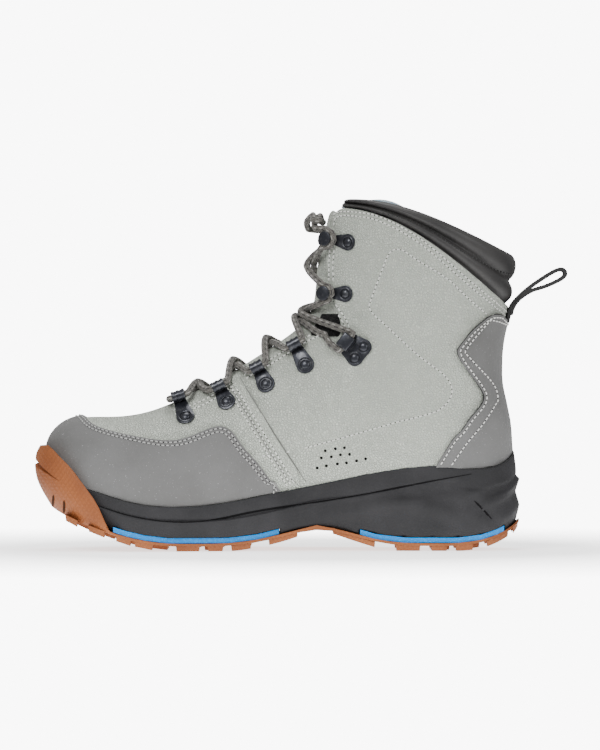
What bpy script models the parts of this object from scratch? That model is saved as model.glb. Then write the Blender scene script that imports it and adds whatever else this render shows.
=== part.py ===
"""A right wading boot, toe towards -X, inner side towards -Y, heel tread at the origin.

The upper, the toe cap, the counter, the collar and the tongue all come from one skin, worked out by
skin() from a table of sections. Each section is a girth line that runs from a front point on the vamp,
the throat or the shin down or back to a base point on the foot bed or the heel.
The sole pieces come from one plan outline, worked out by plan_ring().
"""

import math
from bisect import bisect_right
from functools import lru_cache

import bmesh
import bpy
from mathutils import Matrix, Vector

for old in list(bpy.data.objects):
    bpy.data.objects.remove(old)

# Sizes of the boot as a whole, in metres
LENGTH = 0.320
BALL_WIDTH = 0.111
UPPER_HEIGHT = 0.194
HEEL_SEAT = 0.036
ORIGIN_SHARE = 0.165

# Thicknesses and clearances, in metres
GAP = 0.0003
WALL = 0.0020
CAP_THICKNESS = 0.0013
COUNTER_THICKNESS = 0.0012
STRIP_THICKNESS = 0.0009
STRIP_WIDTH = 0.0068
COLLAR_PADDING = 0.0085
TONGUE_PADDING = 0.0048
TONGUE_WIDTH = 0.056
INSOLE_THICKNESS = 0.0040
PLATE_THICKNESS = 0.0018
LUG_DEPTH = 0.0032
BLUE_THICKNESS = 0.0034
RIM_WIDTH = 0.0060
TOE_WALL = 0.0068
TOE_RIM = 0.0042
HEEL_RIM = 0.0050
LACE_DIAMETER = 0.0045

# Each row: share of the length from the heel, centre and half width as shares of the ball width,
# then heights as shares of the heel seat: tread, foot bed and the rim of the cup
SOLE = (
    (0.00, 0.000, 0.342, 0.444, 1.000, 1.970),
    (0.03, 0.000, 0.342, 0.236, 1.000, 1.620),
    (0.08, 0.000, 0.342, 0.060, 1.000, 1.486),
    (0.12, 0.002, 0.342, 0.000, 1.000, 1.480),
    (0.18, 0.004, 0.345, 0.000, 1.000, 1.545),
    (0.26, 0.016, 0.346, 0.000, 0.981, 1.490),
    (0.33, 0.032, 0.348, 0.139, 0.942, 1.367),
    (0.41, 0.045, 0.359, 0.333, 0.867, 1.214),
    (0.50, 0.054, 0.387, 0.144, 0.778, 1.056),
    (0.56, 0.050, 0.422, 0.033, 0.719, 0.953),
    (0.60, 0.045, 0.446, 0.000, 0.681, 0.880),
    (0.66, 0.036, 0.480, 0.000, 0.642, 0.814),
    (0.72, 0.022, 0.499, 0.000, 0.625, 0.794),
    (0.78, 0.000, 0.505, 0.072, 0.633, 0.847),
    (0.85, -0.027, 0.491, 0.256, 0.708, 1.022),
    (0.91, -0.045, 0.458, 0.458, 0.819, 1.170),
    (0.96, -0.057, 0.422, 0.681, 0.944, 1.200),
    (1.00, -0.063, 0.387, 0.944, 1.056, 1.220),
)
CENTRE, HALF, TREAD, SEAT, RIM = 1, 2, 3, 4, 5
HEEL_ROUND = 0.13
TOE_ROUND = 0.20
ROUND_POWER = 2.2

# The toe bumper's upper edge: share of the length, height as a share of the heel seat
BUMPER_EDGE = (
    (0.842, 0.360),
    (0.865, 0.844),
    (0.892, 1.178),
    (0.918, 1.453),
    (0.951, 1.650),
    (0.970, 1.800),
    (1.000, 1.790),
)
BUMPER_BACK = BUMPER_EDGE[0][0]

# Each row is a girth line of the skin, numbered from the toe. Places along the boot are shares of the
# length, heights are shares of the upper's height above the foot bed, and widths of the ball width.
# Columns: front place, front height, base place, base height, half width, fullest point from front to
# base, roundness of the front, bow of the line as a share of the upper's height
GIRTHS = (
    (0.975, 0.147, 0.965, 0.000, 0.000, 0.80, 2.1, 0.000),
    (0.969, 0.198, 0.961, 0.000, 0.000, 0.80, 2.2, 0.000),
    (0.957, 0.235, 0.951, 0.000, 0.000, 0.80, 2.3, 0.000),
    (0.936, 0.274, 0.934, 0.000, 0.000, 0.80, 2.4, 0.000),
    (0.907, 0.302, 0.907, 0.000, 0.000, 0.80, 2.4, 0.000),
    (0.870, 0.317, 0.872, 0.000, 0.000, 0.80, 2.4, 0.000),
    (0.821, 0.329, 0.825, 0.000, 0.000, 0.78, 2.3, 0.000),
    (0.767, 0.351, 0.767, 0.000, 0.455, 0.76, 2.2, 0.000),
    (0.718, 0.384, 0.709, 0.000, 0.445, 0.75, 2.1, 0.000),
    (0.676, 0.417, 0.656, 0.000, 0.432, 0.75, 2.1, 0.000),
    (0.629, 0.459, 0.594, 0.000, 0.400, 0.74, 2.0, 0.000),
    (0.577, 0.506, 0.526, 0.000, 0.372, 0.72, 2.0, 0.000),
    (0.526, 0.551, 0.454, 0.000, 0.357, 0.70, 2.0, 0.000),
    (0.478, 0.597, 0.375, 0.000, 0.347, 0.66, 2.0, 0.000),
    (0.449, 0.636, 0.293, 0.000, 0.341, 0.62, 2.0, 0.000),
    (0.437, 0.674, 0.206, 0.000, 0.337, 0.60, 2.0, 0.000),
    (0.433, 0.714, 0.124, 0.000, 0.335, 0.58, 2.0, 0.000),
    (0.431, 0.755, 0.064, 0.000, 0.335, 0.56, 2.0, 0.000),
    (0.429, 0.792, 0.0156, 0.000, 0.338, 0.54, 2.0, 0.005),
    (0.426, 0.829, 0.0170, 0.093, 0.345, 0.52, 2.0, 0.013),
    (0.423, 0.852, 0.0205, 0.212, 0.355, 0.50, 2.0, 0.026),
    (0.420, 0.875, 0.029, 0.304, 0.366, 0.50, 2.0, 0.039),
    (0.416, 0.898, 0.040, 0.396, 0.378, 0.50, 2.0, 0.052),
    (0.412, 0.922, 0.039, 0.491, 0.389, 0.50, 2.0, 0.062),
    (0.408, 0.948, 0.031, 0.566, 0.399, 0.50, 2.0, 0.070),
    (0.402, 0.981, 0.021, 0.634, 0.408, 0.50, 2.0, 0.077),
    (0.396, 0.994, 0.016, 0.716, 0.410, 0.50, 2.0, 0.067),
    (0.390, 1.006, 0.012, 0.815, 0.408, 0.50, 2.0, 0.054),
)
FRONT_X, FRONT_Z, BASE_X, BASE_Z, WIDTH, FULLEST, FRONT_ROUND, BOW = range(8)
HEEL_CORNER = 18
BOW_LEAN = 0.65
SKIN_OVER_SEAT = 1.02

# Each row: girth, then how far from front to base an edge lies on it
THROAT_EDGE = (
    (8.90, 0.000),
    (9.05, 0.006),
    (9.40, 0.020),
    (10.0, 0.042),
    (11.0, 0.056),
    (12.0, 0.062),
    (13.0, 0.072),
    (14.0, 0.100),
    (14.6, 0.150),
    (15.0, 0.190),
    (15.6, 0.208),
    (16.2, 0.200),
    (17.0, 0.150),
    (18.0, 0.090),
    (19.0, 0.055),
    (21.0, 0.040),
    (24.0, 0.030),
    (24.6, 0.036),
    (25.0, 0.058),
)
CAP_EDGE = (
    (4.00, 0.000),
    (4.40, 0.030),
    (4.74, 0.115),
    (5.60, 0.170),
    (6.40, 0.214),
    (7.60, 0.320),
    (8.20, 0.355),
    (8.80, 0.357),
    (9.30, 0.348),
    (9.70, 0.346),
    (10.0, 0.358),
    (10.38, 0.426),
    (10.66, 0.561),
    (11.08, 0.703),
    (11.32, 0.822),
    (11.56, 0.896),
    (11.90, 0.960),
)
COUNTER_EDGE = (
    (15.5, 0.930),
    (15.9, 0.853),
    (16.6, 0.792),
    (17.5, 0.732),
    (18.2, 0.732),
    (19.0, 0.770),
    (19.9, 0.836),
    (20.2, 0.851),
    (20.37, 0.846),
    (20.50, 0.820),
    (20.75, 0.731),
    (20.95, 0.709),
    (21.15, 0.710),
    (21.5, 0.733),
    (21.9, 0.762),
    (22.5, 0.799),
    (23.0, 0.840),
    (23.6, 0.878),
    (24.1, 0.914),
    (24.35, 0.960),
)


def smooth(table, column, key):
    """A value between a table's rows, on a curve that never overshoots them."""
    keys = [row[0] for row in table]
    if key <= keys[0]:
        return table[0][column]
    if key >= keys[-1]:
        return table[-1][column]
    i = bisect_right(keys, key) - 1

    def slope(k):
        return (table[k + 1][column] - table[k][column]) / (keys[k + 1] - keys[k])

    def tangent(k):
        if k == 0 or k == len(keys) - 1:
            return slope(min(k, len(keys) - 2))
        before, after = slope(k - 1), slope(k)
        return 0.0 if before * after <= 0 else 2 * before * after / (before + after)

    span = keys[i + 1] - keys[i]
    u = (key - keys[i]) / span
    return (
        table[i][column] * (1 + 2 * u) * (1 - u) ** 2
        + span * tangent(i) * u * (1 - u) ** 2
        + table[i + 1][column] * u * u * (3 - 2 * u)
        - span * tangent(i + 1) * u * u * (1 - u)
    )


@lru_cache(maxsize=None)
def girth(column, t):
    """A value of the girth table at girth t, which may lie between two rows."""
    rows = [(i, value[column]) for i, value in enumerate(GIRTHS)]
    low = max(0, min(int(t) - 1, len(rows) - 4))
    return smooth(rows[low:low + 4], 1, t)


def ease(u):
    u = min(1.0, max(0.0, u))
    return u * u * (3 - 2 * u)


# Plan outline and heights of the sole
def place(share):
    return (ORIGIN_SHARE - share) * LENGTH


def share_of(x):
    return ORIGIN_SHARE - x / LENGTH


def height(line, share):
    return smooth(SOLE, line, share) * HEEL_SEAT


def plate_bottom(share):
    return height(TREAD, share) + LUG_DEPTH


def plate_top(share):
    return plate_bottom(share) + PLATE_THICKNESS


def half_width(share, side=0.0, back=0.0, front=0.0):
    """Half the sole's width, less an inset at the side, the back and the front."""
    start = back / LENGTH
    end = 1 - front / LENGTH
    s = min(1.0, max(0.0, (share - start) / (end - start)))
    heel = max(0.0, 1 - s / HEEL_ROUND)
    toe = max(0.0, 1 - (1 - s) / TOE_ROUND)
    round_off = (1 - max(heel, toe) ** ROUND_POWER) ** (1 / ROUND_POWER)
    return (smooth(SOLE, HALF, share) * BALL_WIDTH - side) * round_off


def centre(share):
    return smooth(SOLE, CENTRE, share) * BALL_WIDTH


def foot_half(share):
    return half_width(share, RIM_WIDTH, HEEL_RIM, TOE_WALL + TOE_RIM)


# The skin: the outer surface of the upper
TOE_END = 1 - (TOE_WALL + TOE_RIM) / LENGTH
TOE_END_IN_TABLE = 0.9656
TOE_RUN = 0.10


@lru_cache(maxsize=None)
def girth_place(column, t):
    """A place of the girth table along the boot. At the toe it keeps its distance from the sole's wall."""
    s = girth(column, t)
    near_toe = max(0.0, 1 + (s - TOE_END_IN_TABLE) / TOE_RUN)
    return s + (TOE_END - TOE_END_IN_TABLE) * near_toe


@lru_cache(maxsize=None)
def front_point(t):
    s = girth_place(FRONT_X, t)
    return place(s), height(SEAT, s) + girth(FRONT_Z, t) * UPPER_HEIGHT


@lru_cache(maxsize=None)
def base_point(t):
    s = girth_place(BASE_X, t)
    return place(s), height(SEAT, s) + girth(BASE_Z, t) * UPPER_HEIGHT


@lru_cache(maxsize=None)
def seat_half(t):
    """Half the skin's width where girth t meets the foot bed."""
    return foot_half(girth_place(BASE_X, t)) if 0 < t < HEEL_CORNER else 0.0


def breadth(t, v):
    """Half the skin's width at a share v of the way from front to base."""
    seat = seat_half(t)
    full = max(girth(WIDTH, t) * BALL_WIDTH, seat * SKIN_OVER_SEAT) if t > 0 else 0.0
    if full < 1e-9:
        return 0.0
    fullest = girth(FULLEST, t)
    if v <= fullest:
        return full * math.sqrt(max(0.0, 1 - (1 - v / fullest) ** girth(FRONT_ROUND, t)))
    base = seat / full
    beyond = max(0.0, 1 - ((v - fullest) / (1 - fullest)) ** 2)
    return full * (base + (1 - base) * beyond ** (0.5 + 0.9 * base))


def skin_point(t, v, side):
    (x0, z0), (x1, z1) = front_point(t), base_point(t)
    bow = girth(BOW, t) * UPPER_HEIGHT * math.sin(math.pi * v**BOW_LEAN)
    span = math.hypot(x1 - x0, z1 - z0)
    x = x0 + (x1 - x0) * v - bow * (z1 - z0) / span
    z = z0 + (z1 - z0) * v + bow * (x1 - x0) / span
    s = share_of(x)
    rise = (z - height(SEAT, s)) / UPPER_HEIGHT
    leg = ease(rise / 0.45) * ease((0.72 - s) / 0.25)
    return Vector((x, centre(s) * (1 - leg) + side * breadth(t, v), z))


def skin_normal(t, v, side):
    step_t, step_v = 0.002, 0.0002
    if t <= 0:
        v = max(v, 0.01)
    point = skin_point(t, v, side)
    heel_line = t >= HEEL_CORNER and v > 0.999
    t0, t1 = t if heel_line else max(0.0, t - step_t), min(float(len(GIRTHS) - 1), t + step_t)
    v0, v1 = max(0.0, v - step_v), min(1.0, v + step_v)
    along = skin_point(t1, v, side) - skin_point(t0, v, side)
    down = skin_point(t, v1, side) - skin_point(t, v0, side)
    out = along.cross(down)
    if breadth(t, v) < 1e-6:
        out.y = 0.0
    out.normalize()
    (x0, z0), (x1, z1) = front_point(t), base_point(t)
    from_toe = max(0.0, 1 - t / 6) * BALL_WIDTH / 4
    inside = Vector(((x0 + x1) / 2 + from_toe, centre(share_of(point.x)), (z0 + z1) / 2))
    return out if out.dot(point - inside) > 0 else -out


def skin(t, v, side, offset=0.0):
    """A point off the skin. Along the foot bed it stays level."""
    point = skin_point(t, v, side)
    level = point.z
    point += skin_normal(t, v, side) * offset
    if t <= HEEL_CORNER and v > 0.99:
        point.z = level
    return point


def rim_share(t, clearance=GAP):
    """How far down girth t the rim of the sole's cup meets the skin, or 1 where it doesn't."""

    def over(v):
        point = skin_point(t, v, 1)
        return point.z - height(RIM, share_of(point.x)) - clearance

    low = 0.3
    while low < 1.0 and over(min(1.0, low + 0.01)) > 0:
        low += 0.01
    if low >= 0.995:
        return 1.0
    high = low + 0.01
    for _ in range(12):
        middle = (low + high) / 2
        low, high = (middle, high) if over(middle) > 0 else (low, middle)
    return low


def seat_share(t):
    """Where girth t ends, one clearance above the foot bed, or at the heel's back."""
    if t > HEEL_CORNER:
        return 1.0
    (x0, z0), (x1, z1) = front_point(t), base_point(t)
    return 1 - GAP / (z0 - z1)


# Making objects
def material(name, colour, roughness, metallic=0.0):
    made = bpy.data.materials.new(name)
    made.use_nodes = True
    shader = made.node_tree.nodes["Principled BSDF"]
    shader.inputs["Base Color"].default_value = (*colour, 1.0)
    shader.inputs["Roughness"].default_value = roughness
    shader.inputs["Metallic"].default_value = metallic
    return made


PALE_LEATHER = material("pale_leather", (0.47, 0.48, 0.45), 0.6)
GREY_NUBUCK = material("grey_nubuck", (0.25, 0.25, 0.25), 0.75)
BLACK_PADDING = material("black_padding", (0.030, 0.030, 0.031), 0.5)
CHARCOAL_FOAM = material("charcoal_foam", (0.050, 0.050, 0.052), 0.7)
GUM_RUBBER = material("gum_rubber", (0.45, 0.19, 0.075), 0.55)
BLUE_RUBBER = material("blue_rubber", (0.045, 0.32, 0.80), 0.5)
BLACK_METAL = material("black_metal", (0.035, 0.037, 0.045), 0.35, 0.8)
BLACK_WEBBING = material("black_webbing", (0.018, 0.018, 0.019), 0.8)
GREY_CORD = material("grey_cord", (0.17, 0.16, 0.15), 0.85)
INSOLE_FOAM = material("insole_foam", (0.10, 0.11, 0.13), 0.85)


def object_of(name, points, faces, finish):
    """A closed body with its faces pointing out, shaded smooth."""
    form = bmesh.new()
    corners = [form.verts.new(point) for point in points]
    for face in faces:
        loop = [corners[k] for k in dict.fromkeys(face)]
        if len(loop) > 2:
            form.faces.new(loop)
    bmesh.ops.recalc_face_normals(form, faces=form.faces)
    if form.calc_volume(signed=True) < 0:
        bmesh.ops.reverse_faces(form, faces=form.faces)
    mesh = bpy.data.meshes.new(name)
    form.to_mesh(mesh)
    form.free()
    mesh.shade_smooth()
    mesh.set_sharp_from_angle(angle=math.radians(40))
    mesh.materials.append(finish)
    made = bpy.data.objects.new(name, mesh)
    bpy.context.collection.objects.link(made)
    return made


def combine(target, other, operation):
    """Joins or cuts target with other, and removes other."""
    step = target.modifiers.new(operation.lower(), "BOOLEAN")
    step.operation = operation
    step.solver = "EXACT"
    step.use_self = True
    step.object = other
    bpy.context.view_layer.update()
    evaluated = target.evaluated_get(bpy.context.evaluated_depsgraph_get())
    mesh = bpy.data.meshes.new_from_object(evaluated)
    target.modifiers.clear()
    target.data = mesh
    bpy.data.objects.remove(other)
    return target


def as_one(name, parts, finish):
    """Separate closed bodies as one object, for use as a cutter or in a join."""
    form = bmesh.new()
    for part in parts:
        form.from_mesh(part.data)
        bpy.data.objects.remove(part)
    mesh = bpy.data.meshes.new(name)
    form.to_mesh(mesh)
    form.free()
    mesh.materials.append(finish)
    made = bpy.data.objects.new(name, mesh)
    bpy.context.collection.objects.link(made)
    return made


def skin_grid(rows, columns, start, end):
    """Points of the skin as (girth, share, side), each once, and the faces between them."""
    index, spots, faces = {}, [], []

    def corner(i, j, side):
        t = rows[i]
        v = start(t) + (end(t) - start(t)) * columns[j]
        shared = breadth(t, v) < 1e-6
        key = (i, j, 0 if shared else side)
        if key not in index:
            index[key] = len(spots)
            spots.append((t, v, side, columns[j]))
        return index[key]

    for side in (1, -1):
        for i in range(len(rows) - 1):
            for j in range(len(columns) - 1):
                a, b = corner(i, j, side), corner(i + 1, j, side)
                c, d = corner(i + 1, j + 1, side), corner(i, j + 1, side)
                faces += [face for face in ((a, b, c), (a, c, d)) if len(set(face)) == 3]
    return spots, faces


def border(faces):
    """The edges that belong to one face only."""
    seen = {}
    for face in faces:
        loop = list(dict.fromkeys(face))
        for a, b in zip(loop, loop[1:] + loop[:1]):
            seen.setdefault(frozenset((a, b)), []).append((a, b))
    return [uses[0] for uses in seen.values() if len(uses) == 1]


def shell(name, rows, columns, start, end, outer, inner, finish):
    """A wall between two offsets of the skin, closed along its border."""
    spots, faces = skin_grid(rows, columns, start, end)
    count = len(spots)
    points = [skin(t, v, side, outer(t, u)) for t, v, side, u in spots]
    points += [skin(t, v, side, inner(t, u)) for t, v, side, u in spots]
    walls = [tuple(k + count for k in face) for face in faces]
    rims = [(a, b, b + count, a + count) for a, b in border(faces)]
    return object_of(name, points, faces + walls + rims, finish)


def solid_skin(rows, offset, finish):
    """A cutter: the whole form inside the skin, closed over the throat, the foot bed and its top."""
    columns = eased(SKIN_COLUMNS)
    spots, faces = skin_grid(rows, columns, throat_edge, seat_share)
    points = [skin(t, v, side, offset) for t, v, side, u in spots]
    for (t, v, side, u), point in zip(spots, points):
        point.z -= GAP if u == columns[-1] and t <= HEEL_CORNER else 0.0
    across = {}
    for k, (t, v, side, u) in enumerate(spots):
        shared = breadth(t, v) < 1e-6
        for s in (1, -1) if shared else (side,):
            across[(t, u, s)] = k
    bridges = [((t0, u), (t1, u)) for t0, t1 in zip(rows, rows[1:]) for u in (0.0, 1.0)]
    bridges += [((rows[-1], u0), (rows[-1], u1)) for u0, u1 in zip(columns, columns[1:])]
    for a, b in bridges:
        loop = (across[(*a, 1)], across[(*b, 1)], across[(*b, -1)], across[(*a, -1)])
        if len(set(loop)) > 2:
            faces.append(loop)
    return object_of("cutter", points, faces, finish)


def inset_share(s, back, front):
    """Where a station lies once a ring is inset: only stations near the heel's and the toe's end move."""
    if s < HEEL_ROUND:
        return back / LENGTH * (1 - s / HEEL_ROUND) + s
    return s - front / LENGTH * max(0.0, 1 - (1 - s) / TOE_ROUND)


def plan_ring(shares, level, side, back=0.0, front=0.0):
    """Points round the plan outline, outer side first, at a height level(share)."""
    stations = [inset_share(s, back, front) for s in shares]
    ring = []
    for sign in (1, -1):
        order = stations if sign == 1 else stations[-2:0:-1]
        for s in order:
            wide = half_width(s, side(s), back, front)
            ring.append(Vector((place(s), centre(s) + sign * wide, level(s))))
    return ring


def plan_loft(name, rings, finish):
    """A closed body through plan rings, bottom first, with strips across both ends."""
    size = len(rings[0])
    points = [point for ring in rings for point in ring]
    faces = []
    for k in range(len(rings) - 1):
        for i in range(size):
            a, b = k * size + i, k * size + (i + 1) % size
            faces += [(a, b, b + size), (a, b + size, a + size)]
    half = size // 2
    for first in (0, (len(rings) - 1) * size):
        for i in range(half):
            far, near = first + (size - i) % size, first + (size - i - 1) % size
            faces += [(first + i, first + i + 1, near), (first + i, near, far)]
    return object_of(name, points, faces, finish)


def slab(name, shares, side, low, high, finish):
    """A piece of a layer of the sole, cut straight across at both ends."""
    points, faces = [], []
    for s in shares:
        wide = half_width(s, side)
        for level in (low(s), high(s)):
            for sign in (1, -1):
                points.append(Vector((place(s), centre(s) + sign * wide, level)))
    for k in range(len(shares) - 1):
        a, b = 4 * k, 4 * k + 4
        for p, q in ((0, 1), (1, 3), (3, 2), (2, 0)):
            faces.append((a + p, a + q, b + q, b + p))
    last = 4 * len(shares) - 4
    faces += [(0, 1, 3, 2), (last, last + 1, last + 3, last + 2)]
    return object_of(name, points, faces, finish)


def eased(count, ends="both"):
    """Shares from 0 to 1, closer together at both ends or at the start."""
    if ends == "both":
        return [(1 - math.cos(math.pi * k / count)) / 2 for k in range(count + 1)]
    return [1 - math.cos(math.pi / 2 * k / count) for k in range(count + 1)]


# Upper: one hollow wall of vamp and quarters, open at the throat, the top and under the foot
UPPER_ROWS = (0, 0.12, 0.4, 1, 2, 3, 4, 5, 6, 7, 8, 8.9, 9.05, 9.4, 10, 10.7, 11.4, 12, 12.6, 13.2, 13.8,
              14.3, 14.8, 15.3, 15.8, 16.4, 17, 17.5, 17.8, 17.95, 18, 18.3, 18.7, 19.3, 20, 21, 22, 23, 24,
              24.6, 25)
SKIN_COLUMNS = 9


def throat_edge(t):
    return smooth(THROAT_EDGE, 1, t)


def upper_wall(name, grow, finish):
    return shell(
        name, UPPER_ROWS, eased(SKIN_COLUMNS), throat_edge, seat_share,
        lambda t, u: grow, lambda t, u: -WALL - grow, finish,
    )


def clear_of_upper(piece):
    """Cuts a piece inside the boot back wherever it comes closer to the upper than the clearance."""
    combine(piece, upper_wall("cutter", GAP, GREY_NUBUCK), "DIFFERENCE")


upper = upper_wall("upper", 0.0, PALE_LEATHER)

# Collar: two padded rolls above the quarters, with a flange that goes down inside them
# Each row: girth, outer and inner offset from the skin as shares of the padding
COLLAR_PROFILE = (
    (24.75, -0.31, -0.62),
    (25.14, -0.31, -0.95),
    (25.26, 0.02, -1.00),
    (25.50, 0.26, -1.05),
    (25.82, 0.22, -1.05),
    (26.02, -0.12, -1.05),
    (26.10, -0.12, -1.05),
    (26.28, 0.28, -1.05),
    (26.60, 0.42, -1.05),
    (26.85, 0.24, -0.98),
    (27.00, -0.22, -0.72),
)
# Each row: girth, share from front to base where the collar's rounded front end lies
COLLAR_FRONT = (
    (24.75, 0.057),
    (25.50, 0.058),
    (26.10, 0.060),
    (26.60, 0.072),
    (27.00, 0.100),
)
COLLAR_COLUMNS = 8
FRONT_TAPER = 0.16
FRONT_PADDING = 0.45


def collar_outside(t, u):
    return smooth(COLLAR_PROFILE, 1, t) * COLLAR_PADDING


def collar_inside(t, u):
    padding = FRONT_PADDING + (1 - FRONT_PADDING) * ease(u / FRONT_TAPER)
    outside, inside = smooth(COLLAR_PROFILE, 1, t), smooth(COLLAR_PROFILE, 2, t)
    return (outside + (inside - outside) * padding) * COLLAR_PADDING


collar = shell(
    "collar", [row[0] for row in COLLAR_PROFILE], eased(COLLAR_COLUMNS),
    lambda t: smooth(COLLAR_FRONT, 1, t), lambda t: 1.0, collar_outside, collar_inside, BLACK_PADDING,
)
clear_of_upper(collar)

# Tongue: a padded strip under the throat, widest behind the flex notch
TONGUE_ROWS = (8.3, 9, 9.6, 10.4, 11.2, 12, 12.8, 13.5, 14.1, 14.7, 15.3, 16, 17, 18, 19, 20.5, 22, 23.4,
               24.4, 25.2, 25.9)
# Each row: girth, half width as a share of the tongue's width
TONGUE_HALF = (
    (8.3, 0.30),
    (9.6, 0.42),
    (13.0, 0.50),
    (14.4, 0.56),
    (15.3, 0.60),
    (16.4, 0.59),
    (18.0, 0.53),
    (22.0, 0.50),
    (24.2, 0.44),
    (24.8, 0.215),
    (25.9, 0.130),
)
TONGUE_COLUMNS = 4


def share_for_breadth(t, wanted):
    low, high = 0.0, girth(FULLEST, t)
    for _ in range(24):
        middle = (low + high) / 2
        low, high = (middle, high) if breadth(t, middle) < wanted else (low, middle)
    return low


def tongue_side(t):
    return share_for_breadth(t, smooth(TONGUE_HALF, 1, t) * TONGUE_WIDTH)


tongue = shell(
    "tongue", TONGUE_ROWS, eased(TONGUE_COLUMNS, "start"), lambda t: 0.0, tongue_side,
    lambda t, u: -(WALL + 2 * GAP), lambda t, u: -(WALL + 2 * GAP + TONGUE_PADDING * (1 - 0.5 * u**3)),
    PALE_LEATHER,
)
clear_of_upper(tongue)

# Midsole: charcoal foam cup with a long groove and a bulged heel
# Each row: share of the height, of the groove's height below it and of the rest above it, then the
# outward step in metres at the back, the heel's side, the arch, the forefoot and the toe
MIDSOLE_SIDE = (
    (0.00, 0.0, -0.0024, -0.0014, -0.0014, -0.0010, -0.0085),
    (0.28, 0.0, 0.0004, 0.0008, -0.0004, 0.0002, -0.0040),
    (0.65, 0.0, -0.0024, 0.0004, -0.0002, 0.0004, -0.0014),
    (0.83, 0.0, 0.0004, 0.0002, -0.0002, 0.0003, -0.0004),
    (0.95, 0.0, -0.0016, -0.0008, -0.0004, 0.0000, -0.0004),
    (1.00, 0.0, -0.0021, -0.0018, -0.0023, -0.0020, -0.0014),
    (1.00, 0.14, -0.0018, -0.0015, -0.0014, -0.0012, -0.0010),
    (1.00, 0.60, -0.0026, -0.0020, -0.0016, -0.0013, -0.0008),
    (1.00, 0.93, -0.0034, -0.0028, -0.0022, -0.0020, -0.0006),
    (1.00, 1.00, -0.0044, -0.0034, -0.0029, -0.0026, -0.0008),
)
SIDE_PLACES = (0.0, 0.12, 0.41, 0.70, 0.93)
# Each row: share of the length, the groove's share of the midsole's height
GROOVE_LINE = (
    (0.00, 0.63),
    (0.05, 0.66),
    (0.10, 0.73),
    (0.20, 0.79),
    (0.30, 0.70),
    (0.40, 0.61),
    (0.60, 0.59),
    (0.80, 0.62),
    (1.00, 0.62),
)
MIDSOLE_SHARES = (0, 0.006, 0.022, 0.045, 0.08, 0.13, 0.18, 0.24, 0.30, 0.36, 0.42, 0.48, 0.54, 0.60, 0.66,
                  0.72, 0.77, 0.81, 0.842, 0.878, 0.918, 0.951, 0.972, 0.99, 0.998, 1)
BLUE_FORE = (0.497, 0.833)
BLUE_HEEL = (0.036, 0.331)
BUMPER_SIDE = 0.0016
CUP_ROWS = -5


def midsole_bottom(s):
    return plate_top(s) + GAP


def midsole_step(row, s):
    return smooth([(place_share, value) for place_share, value in zip(SIDE_PLACES, row[2:])], 1, s)


def midsole_rings(grow, bottom_drop=0.0, top_rise=0.0):
    rings = []
    for number, row in enumerate(MIDSOLE_SIDE):
        def level(s, row=row, number=number):
            low, high = midsole_bottom(s), height(RIM, s)
            groove = low + (high - low) * smooth(GROOVE_LINE, 1, s)
            z = low + (groove - low) * row[0] + (high - groove) * row[1]
            return z - (bottom_drop if number == 0 else 0) + (top_rise if row[1] == 1 else 0)

        def side(s, row=row):
            return BUMPER_SIDE * ease((s - BUMPER_BACK + 0.02) / 0.02) - midsole_step(row, s) - grow

        back = -midsole_step(row, 0.0) - grow
        front = TOE_WALL - midsole_step(row, 1.0) - grow
        rings.append(plan_ring(MIDSOLE_SHARES, level, side, back, front))
    return rings


midsole = plan_loft("midsole", midsole_rings(0.0), CHARCOAL_FOAM)
combine(midsole, solid_skin(UPPER_ROWS[:CUP_ROWS], GAP, CHARCOAL_FOAM), "DIFFERENCE")


def between(ends, count):
    return [ends[0] + (ends[1] - ends[0]) * k / count for k in range(count + 1)]


# Blue plates: two bright layers set into the midsole's underside, under the forefoot and the heel
BLUE_INSET = 0.0014
RECESS_RUN = 0.004
MIDSOLE_STATIONS = [share_of(point.x) for point in midsole_rings(0.0)[0][:len(MIDSOLE_SHARES)]]


def midsole_underside(s):
    """The height of the midsole's underside, straight from one station to the next."""
    i = min(len(MIDSOLE_STATIONS) - 2, bisect_right(MIDSOLE_STATIONS, s) - 1)
    a, b = MIDSOLE_STATIONS[i], MIDSOLE_STATIONS[i + 1]
    return midsole_bottom(a) + (midsole_bottom(b) - midsole_bottom(a)) * (s - a) / (b - a)


def blue_layer(name, ends, grow, finish):
    start, end = ends[0] - grow / LENGTH, ends[1] + grow / LENGTH
    shares = [start] + [s for s in MIDSOLE_STATIONS if start + 0.004 < s < end - 0.004] + [end]
    run = RECESS_RUN if grow else 0.0
    return slab(
        name, shares, BLUE_INSET - run, lambda s: midsole_underside(s) - run,
        lambda s: midsole_underside(s) + BLUE_THICKNESS + grow, finish,
    )


for name, ends in (("blue_plate_fore", BLUE_FORE), ("blue_plate_heel", BLUE_HEEL)):
    combine(midsole, blue_layer("cutter", ends, GAP, CHARCOAL_FOAM), "DIFFERENCE")
    blue_layer(name, ends, 0.0, BLUE_RUBBER)

# Overlays sewn onto the upper start a little inside its face and below the sole's rim, and are then cut
# back along both
OVERLAY_TUCK = 0.002
OVERLAY_SINK = 0.0007
NARROWEST_OVERLAY = 0.012


def fit_overlay(overlay):
    """Cuts an overlay back to the clearance off the upper's face and the sole's rim."""
    combine(overlay, solid_skin(UPPER_ROWS, GAP, GREY_NUBUCK), "DIFFERENCE")
    combine(overlay, plan_loft("cutter", midsole_rings(GAP, 0.0, GAP), GREY_NUBUCK), "DIFFERENCE")


# Toe cap: the grey overlay round the toe, sewn over the vamp
CAP_ROWS = (0, 0.12, 0.4, 1, 2, 3, 4, 4.4, 4.74, 5.6, 6.4, 7, 7.6, 8.2, 8.8, 9.3, 9.7, 10, 10.2, 10.38, 10.52,
            10.66, 10.85, 11.08, 11.32, 11.56, 11.9)
CAP_COLUMNS = 6


def cap_edge(t):
    return smooth(CAP_EDGE, 1, t)


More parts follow.
